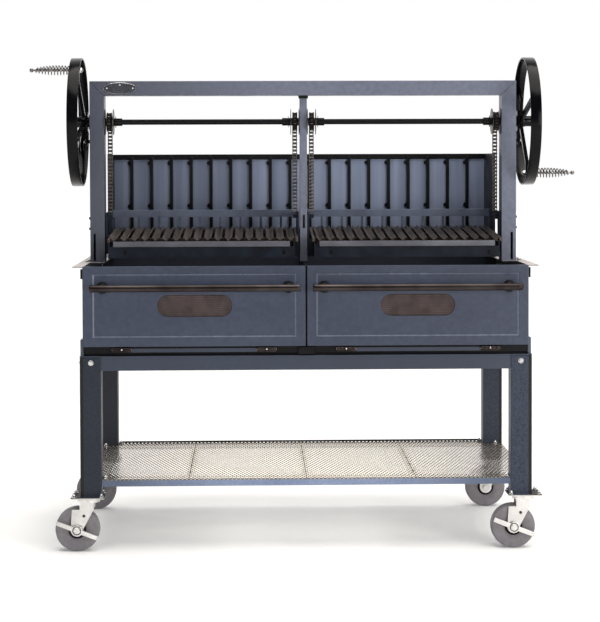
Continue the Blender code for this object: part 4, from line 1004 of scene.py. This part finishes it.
def make_hinge(side, sign):
    """Knuckled hinge barrels with pin heads, on the mounting strip along the sill."""
    node = "hinge_" + side
    low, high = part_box(node)
    y = low.y + HINGE_RADIUS
    back, foot, top = y + 0.0077, HINGE_Z - 0.01, HINGE_Z + 0.003
    shape = bmesh.new()
    pins = bmesh.new()
    for x in HINGE_PLACES:
        start = sign * x - HINGE_LENGTH / 2
        knuckle = HINGE_LENGTH / KNUCKLES
        for n in range(KNUCKLES):
            profile = chamfered(HINGE_RADIUS, start + n * knuckle + 0.0004,
                                start + (n + 1) * knuckle - 0.0004, 0.0006)
            add_lathe(shape, profile, "X", (0, y, HINGE_Z), 28)
        add_block(shape, (start, y + 0.003, foot), (start + HINGE_LENGTH, back, top))
        for end, outward in ((start, -1), (start + HINGE_LENGTH, 1)):
            add_rivet(pins, (end, y, HINGE_Z), "X", outward, 0.004, 0.0018)
        add_rivet(pins, (start + HINGE_LENGTH / 2, y - HINGE_RADIUS + 0.0006, HINGE_Z), "Y", -1,
                  0.0028, 0.0014)
    strip = bmesh.new()
    add_block(strip, (low.x, y + 0.005, foot), (high.x, back, top))
    make_piece("hinge_strip_" + side, strip, "cart", "black_paint", "cart_paint")
    hinge = make_piece("door_hinge_" + side, shape, "cart", "black_paint", "bronze", bevel=0.0004)
    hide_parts(node)
    make_piece("hinge_pins_" + side, pins, "cart", "bright_steel")


# ---- trim on the frame

POST_BOLT_HEIGHTS = (1.08, 1.117)
RAIL_BOLT_Z = 0.639
PAWL_PIVOT_Z = 1.3865
STOP_HEIGHTS = (0.6665, 0.6895)
CATCH_HEIGHTS = (0.921, 0.9545)
CATCH_PLACES = (0.7542, 0.7607)
NOSE_PLACES = (0.034, 0.68)
RIBS = 18
RIB_PITCH = 0.07485
RIB_HALF_WIDTH = 0.006
RIB_TAB_HEIGHTS = (1.309, 1.148)


def make_badge():
    """Blank oval plate with a raised rim and three rivets, at the left end of the beam."""
    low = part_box("top_beam")[0]
    centre_x, centre_z = low.x + 0.106, middle("top_beam").z
    face = low.y - 0.0001
    half_x, half_z = 0.0575, 0.0205
    steps = 64

    def ovals(shape, places):
        """Ovals that shrink by, and stand proud by, each pair."""
        rings = []
        for shrink, proud in places:
            rings.append([])
            for n in range(steps):
                angle = 2 * pi * n / steps
                rings[-1].append(shape.verts.new((
                    centre_x + (half_x - shrink) * cos(angle), face - proud,
                    centre_z + (half_z - shrink) * sin(angle))))
        for here, there in zip(rings, rings[1:]):
            bridge(shape, here, there)
        return rings

    shape = bmesh.new()
    rings = ovals(shape, ((0.0, 0.0), (0.0, 0.0016), (0.0006, 0.0022), (0.0018, 0.0022),
                          (0.0024, 0.0014), (0.0024, 0.0)))
    bridge(shape, rings[-1], rings[0])
    for dx, dz in ((-0.0455, 0.0), (0.0455, 0.0), (0.0, 0.012)):
        add_rivet(shape, (centre_x + dx, face - 0.001, centre_z + dz), "Y", -1, 0.0032, 0.002)
    make_piece("badge_rim", shape, "cart", "bright_steel")
    shape = bmesh.new()
    for edge in ovals(shape, ((0.0026, 0.0), (0.0026, 0.001))):
        shape.faces.new(edge)
    make_piece("badge_plate", shape, "cart", "bright_steel", "badge_plate")


def make_post_trim():
    """Gusset under the beam, and the bolts on the posts and on their flanges."""
    low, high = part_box("post_centre")
    half = high.x
    top, foot = high.z - 0.0005, high.z - 0.011
    shape = bmesh.new()
    for sign in SIDES.values():
        outline = [(half + 0.0002, foot), (half + 0.0052, top), (half + 0.0002, top)]
        add_prism(shape, [(sign * x, z) for x, z in outline], "Y", low.y + 0.002, high.y - 0.002)
    front = [(low.y - 0.0002, foot), (low.y - 0.0052, top), (low.y - 0.0002, top)]
    add_prism(shape, front, "X", -half - 0.004, half + 0.004)
    make_piece("post_gusset", shape, "cart", "black_paint", bevel=0.0006)
    post_bolts = bmesh.new()
    flange_bolts = bmesh.new()
    for side, sign in SIDES.items():
        post = "post_" + side
        low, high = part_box(post)
        x = outermost(post)
        for z in POST_BOLT_HEIGHTS:
            add_bolt(post_bolts, (sign * x, middle(post).y - 0.018, z), "X", sign, 0.009, 0.004)
        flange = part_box("firebox_%s_wall" % side)[1].z
        for y in (low.y + 0.012, high.y - 0.012):
            add_bolt(flange_bolts, (sign * (x + 0.012), y, flange), "Z", 1, 0.011, 0.005)
    make_piece("post_bolts", post_bolts, "cart", "black_paint")
    make_piece("flange_bolts", flange_bolts, "cart", "bright_steel")


def make_rib_tabs():
    """Rounded lugs that hold each rib to the shield."""
    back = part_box("rib_rack")[1].y
    shape = bmesh.new()
    for n in range(RIBS):
        x = (n - (RIBS - 1) / 2) * RIB_PITCH - RIB_HALF_WIDTH
        for z in RIB_TAB_HEIGHTS:
            outline = [(x + 0.001, z - 0.0105)] + arc((x - 0.002, z), 0.0075, -100, -260, 6)
            outline.append((x + 0.001, z + 0.0105))
            add_prism(shape, outline, "Y", back - 0.006, back)
    make_piece("rib_tabs", shape, "cart", "black_paint", bevel=0.0006)


def make_door_furniture():
    """Stop block between the doors, and a catch on each side wall."""
    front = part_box("firebox_pan")[0].y
    shape = bmesh.new()
    bottom, top = STOP_HEIGHTS
    add_block(shape, (-0.0265, front - 0.012, bottom), (0.0265, front - 0.0002, top))
    bottom, top = CATCH_HEIGHTS
    for sign in SIDES.values():
        left, right = sorted(sign * x for x in CATCH_PLACES)
        add_block(shape, (left, CART_FRONT_Y + 0.013, bottom), (right, CART_FRONT_Y + 0.03, top))
    make_piece("door_stops", shape, "cart", "black_paint", bevel=0.0012)


def make_cart_bolts():
    """Bolts through the cart rails into the legs, and at the shelf corners."""
    rail_bolts = bmesh.new()
    shelf_bolts = bmesh.new()
    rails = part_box("cart_top_frame")
    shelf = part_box("shelf_frame")
    shelf_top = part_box("shelf_mesh")[1].z
    for end, side in CORNERS:
        sign = SIDES[side]
        rear = end == "rear"
        inward = -1 if rear else 1
        y = rails[rear].y + inward * 0.0003
        add_bolt(rail_bolts, (sign * 0.726, y, RAIL_BOLT_Z), "Y", -inward, 0.0125, 0.006)
        y = rails[rear].y + inward * 0.032
        add_bolt(rail_bolts, (sign * (rails[1].x - 0.0003), y, RAIL_BOLT_Z), "X", sign, 0.011,
                 0.004)
        y = shelf[rear].y + inward * 0.078
        add_bolt(shelf_bolts, (sign * 0.682, y - inward * 0.06, shelf_top), "Z", 1, shank=0.004)
        add_bolt(shelf_bolts, (sign * 0.735, y, shelf_top), "Z", 1, shank=0.004)
    make_piece("rail_bolts", rail_bolts, "cart", "bright_steel")
    make_piece("shelf_bolts", shelf_bolts, "cart", "bright_steel")


def make_pawl_trim(side, sign):
    """Pivot screw on each pawl."""
    x = sign * (outermost("pawl_" + side) - 0.0006)
    shape = bmesh.new()
    add_bolt(shape, (x, SHAFT.y, PAWL_PIVOT_Z), "X", sign, 0.01, 0.004)
    make_piece("pawl_screw_" + side, shape, "pawl_" + side, "bright_steel")


def make_carriage_details(side, sign):
    """Slots near the ends of the carriage's front rail, and the bolt on its outer strip."""
    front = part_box("carriage_" + side)[0].y
    left, right = sorted(sign * x for x in NOSE_PLACES)
    shape = bmesh.new()
    for x in (left + 0.058, right - 0.038):
        add_block(shape, (x - 0.005, front - 0.0004, 0.9925), (x + 0.005, front + 0.001, 1.0075))
    make_piece("rail_slots_" + side, shape, "lift_" + side, "black_paint", bevel=0.0003)
    shape = bmesh.new()
    add_bolt(shape, (sign * 0.689, front + 0.104, 0.9865), "Y", -1, 0.009, 0.004)
    make_piece("carriage_bolt_" + side, shape, "lift_" + side, "black_paint", "zinc")


# ---- stage

FLOOR_REACH = 40.0
FLOOR_GLOW = 0.13
FILL_STRENGTH = 0.1
SUN_STRENGTH = 3.7


def make_stage():
    """Plain pale floor, faintly self-lit so that it stays white."""
    corners = [(x * FLOOR_REACH, y * FLOOR_REACH, 0.0) for x, y in
               ((-1, -1), (1, -1), (1, 1), (-1, 1))]
    mesh = bpy.data.meshes.new("floor")
    mesh.from_pydata(corners, [], [(0, 1, 2, 3)])
    floor = add_object("floor", mesh)
    surface = Surface("floor", 0.0, 0.3)
    blotch = surface.noise(1.2)
    surface.colour(surface.tone(blotch, (0.8, 0.8, 0.8), (0.84, 0.84, 0.835)))
    surface.rough(blotch, 0.75, 0.85)
    surface.shader.inputs["Emission Color"].default_value = (1.0, 1.0, 1.0, 1.0)
    surface.shader.inputs["Emission Strength"].default_value = FLOOR_GLOW
    mesh.materials.append(surface.material)


def add_light(name, kind, power, colour, aim):
    data = bpy.data.lights.new(name, kind)
    data.energy = power
    data.color = colour
    lamp = add_object(name, data)
    lamp.rotation_euler = Vector(aim).to_track_quat("-Z", "Y").to_euler()
    return lamp


def add_softbox(name, place, target, size, power, colour):
    lamp = add_light(name, "AREA", power, colour, Vector(target) - Vector(place))
    lamp.data.shape = "RECTANGLE"
    lamp.data.size, lamp.data.size_y = size
    lamp.location = place
    lamp.visible_camera = False


def make_world():
    """A white backdrop behind the object, and for the camera, with dim light elsewhere."""
    world = bpy.data.worlds.new("studio")
    bpy.context.scene.world = world
    world.use_nodes = True
    tree = world.node_tree
    link = tree.links.new
    fill = tree.nodes["Background"]
    fill.inputs["Color"].default_value = (0.8, 0.9, 1.0, 1.0)
    fill.inputs["Strength"].default_value = FILL_STRENGTH
    white = add_node(tree, "Background", Color=(1.0, 1.0, 1.0, 1.0))
    direction = add_node(tree, "SeparateXYZ")
    link(add_node(tree, "TexCoord").outputs["Generated"], direction.inputs["Vector"])
    backdrop = add_node(tree, "MapRange", From_Min=0.45, From_Max=0.85)
    link(direction.outputs["Y"], backdrop.inputs["Value"])
    either = add_node(tree, "Math")
    either.operation = "MAXIMUM"
    link(add_node(tree, "LightPath").outputs["Is Camera Ray"], either.inputs[0])
    link(backdrop.outputs["Result"], either.inputs[1])
    choose = add_node(tree, "MixShader")
    link(either.outputs["Value"], choose.inputs["Fac"])
    link(fill.outputs["Background"], choose.inputs[1])
    link(white.outputs["Background"], choose.inputs[2])
    link(choose.outputs["Shader"], tree.nodes["World Output"].inputs["Surface"])


def make_light():
    """A very soft overhead sun, two front softboxes, and one that lights the deck."""
    sun = add_light("overhead", "SUN", SUN_STRENGTH, (1.0, 0.96, 0.91), (-0.18, 0.12, -1.0))
    sun.data.angle = radians(65)
    add_softbox("front_right", (3.4, -4.6, 1.7), (0, 0, 1.1), (1.8, 1.8), 104, (1.0, 0.98, 0.97))
    add_softbox("front_left", (-3.8, -4.2, 1.4), (0, 0, 1.1), (1.6, 1.6), 20, (0.86, 0.93, 1.0))
    add_softbox("under_firebox", (-0.02, -0.05, 0.6), (-0.02, 0, 0), (1.1, 0.5), 9.0,
                (1.0, 0.96, 0.9))


def make_camera():
    data = bpy.data.cameras.new("camera")
    data.lens = 106.35
    data.sensor_width = 36.0
    data.shift_y = -0.151
    data.dof.use_dof = False
    camera = add_object("camera", data)
    turn = (Matrix.Rotation(radians(-1.47), 4, "Z")
            @ Matrix.Rotation(radians(90 - 1.79), 4, "X")
            @ Matrix.Rotation(radians(-0.18), 4, "Z"))
    camera.matrix_world = Matrix.Translation((-0.179, CART_FRONT_Y - 6.178, 1.321)) @ turn
    bpy.context.scene.camera = camera
    bpy.context.scene.view_settings.view_transform = "Standard"


make_camera()
make_world()
make_light()
make_stage()
make_expanded_deck()
make_deck_trim()
make_plate_bolts()
for end, side in CORNERS:
    make_caster_details(end, side)
for side, sign in SIDES.items():
    for name in ("inner", "outer"):
        make_chain(side, name)
        make_spool(side, sign, name)
    make_shaft(side)
    make_hand_wheel(side, sign)
    make_coil_handle(side, sign)
    make_door_bar(side, sign)
    make_vent_screen(side)
    make_panel_edges(side)
    make_hinge(side, sign)
    make_pawl_trim(side, sign)
    make_carriage_details(side, sign)
make_badge()
make_post_trim()
make_rib_tabs()
make_door_furniture()
make_cart_bolts()
soften_cad_nodes()
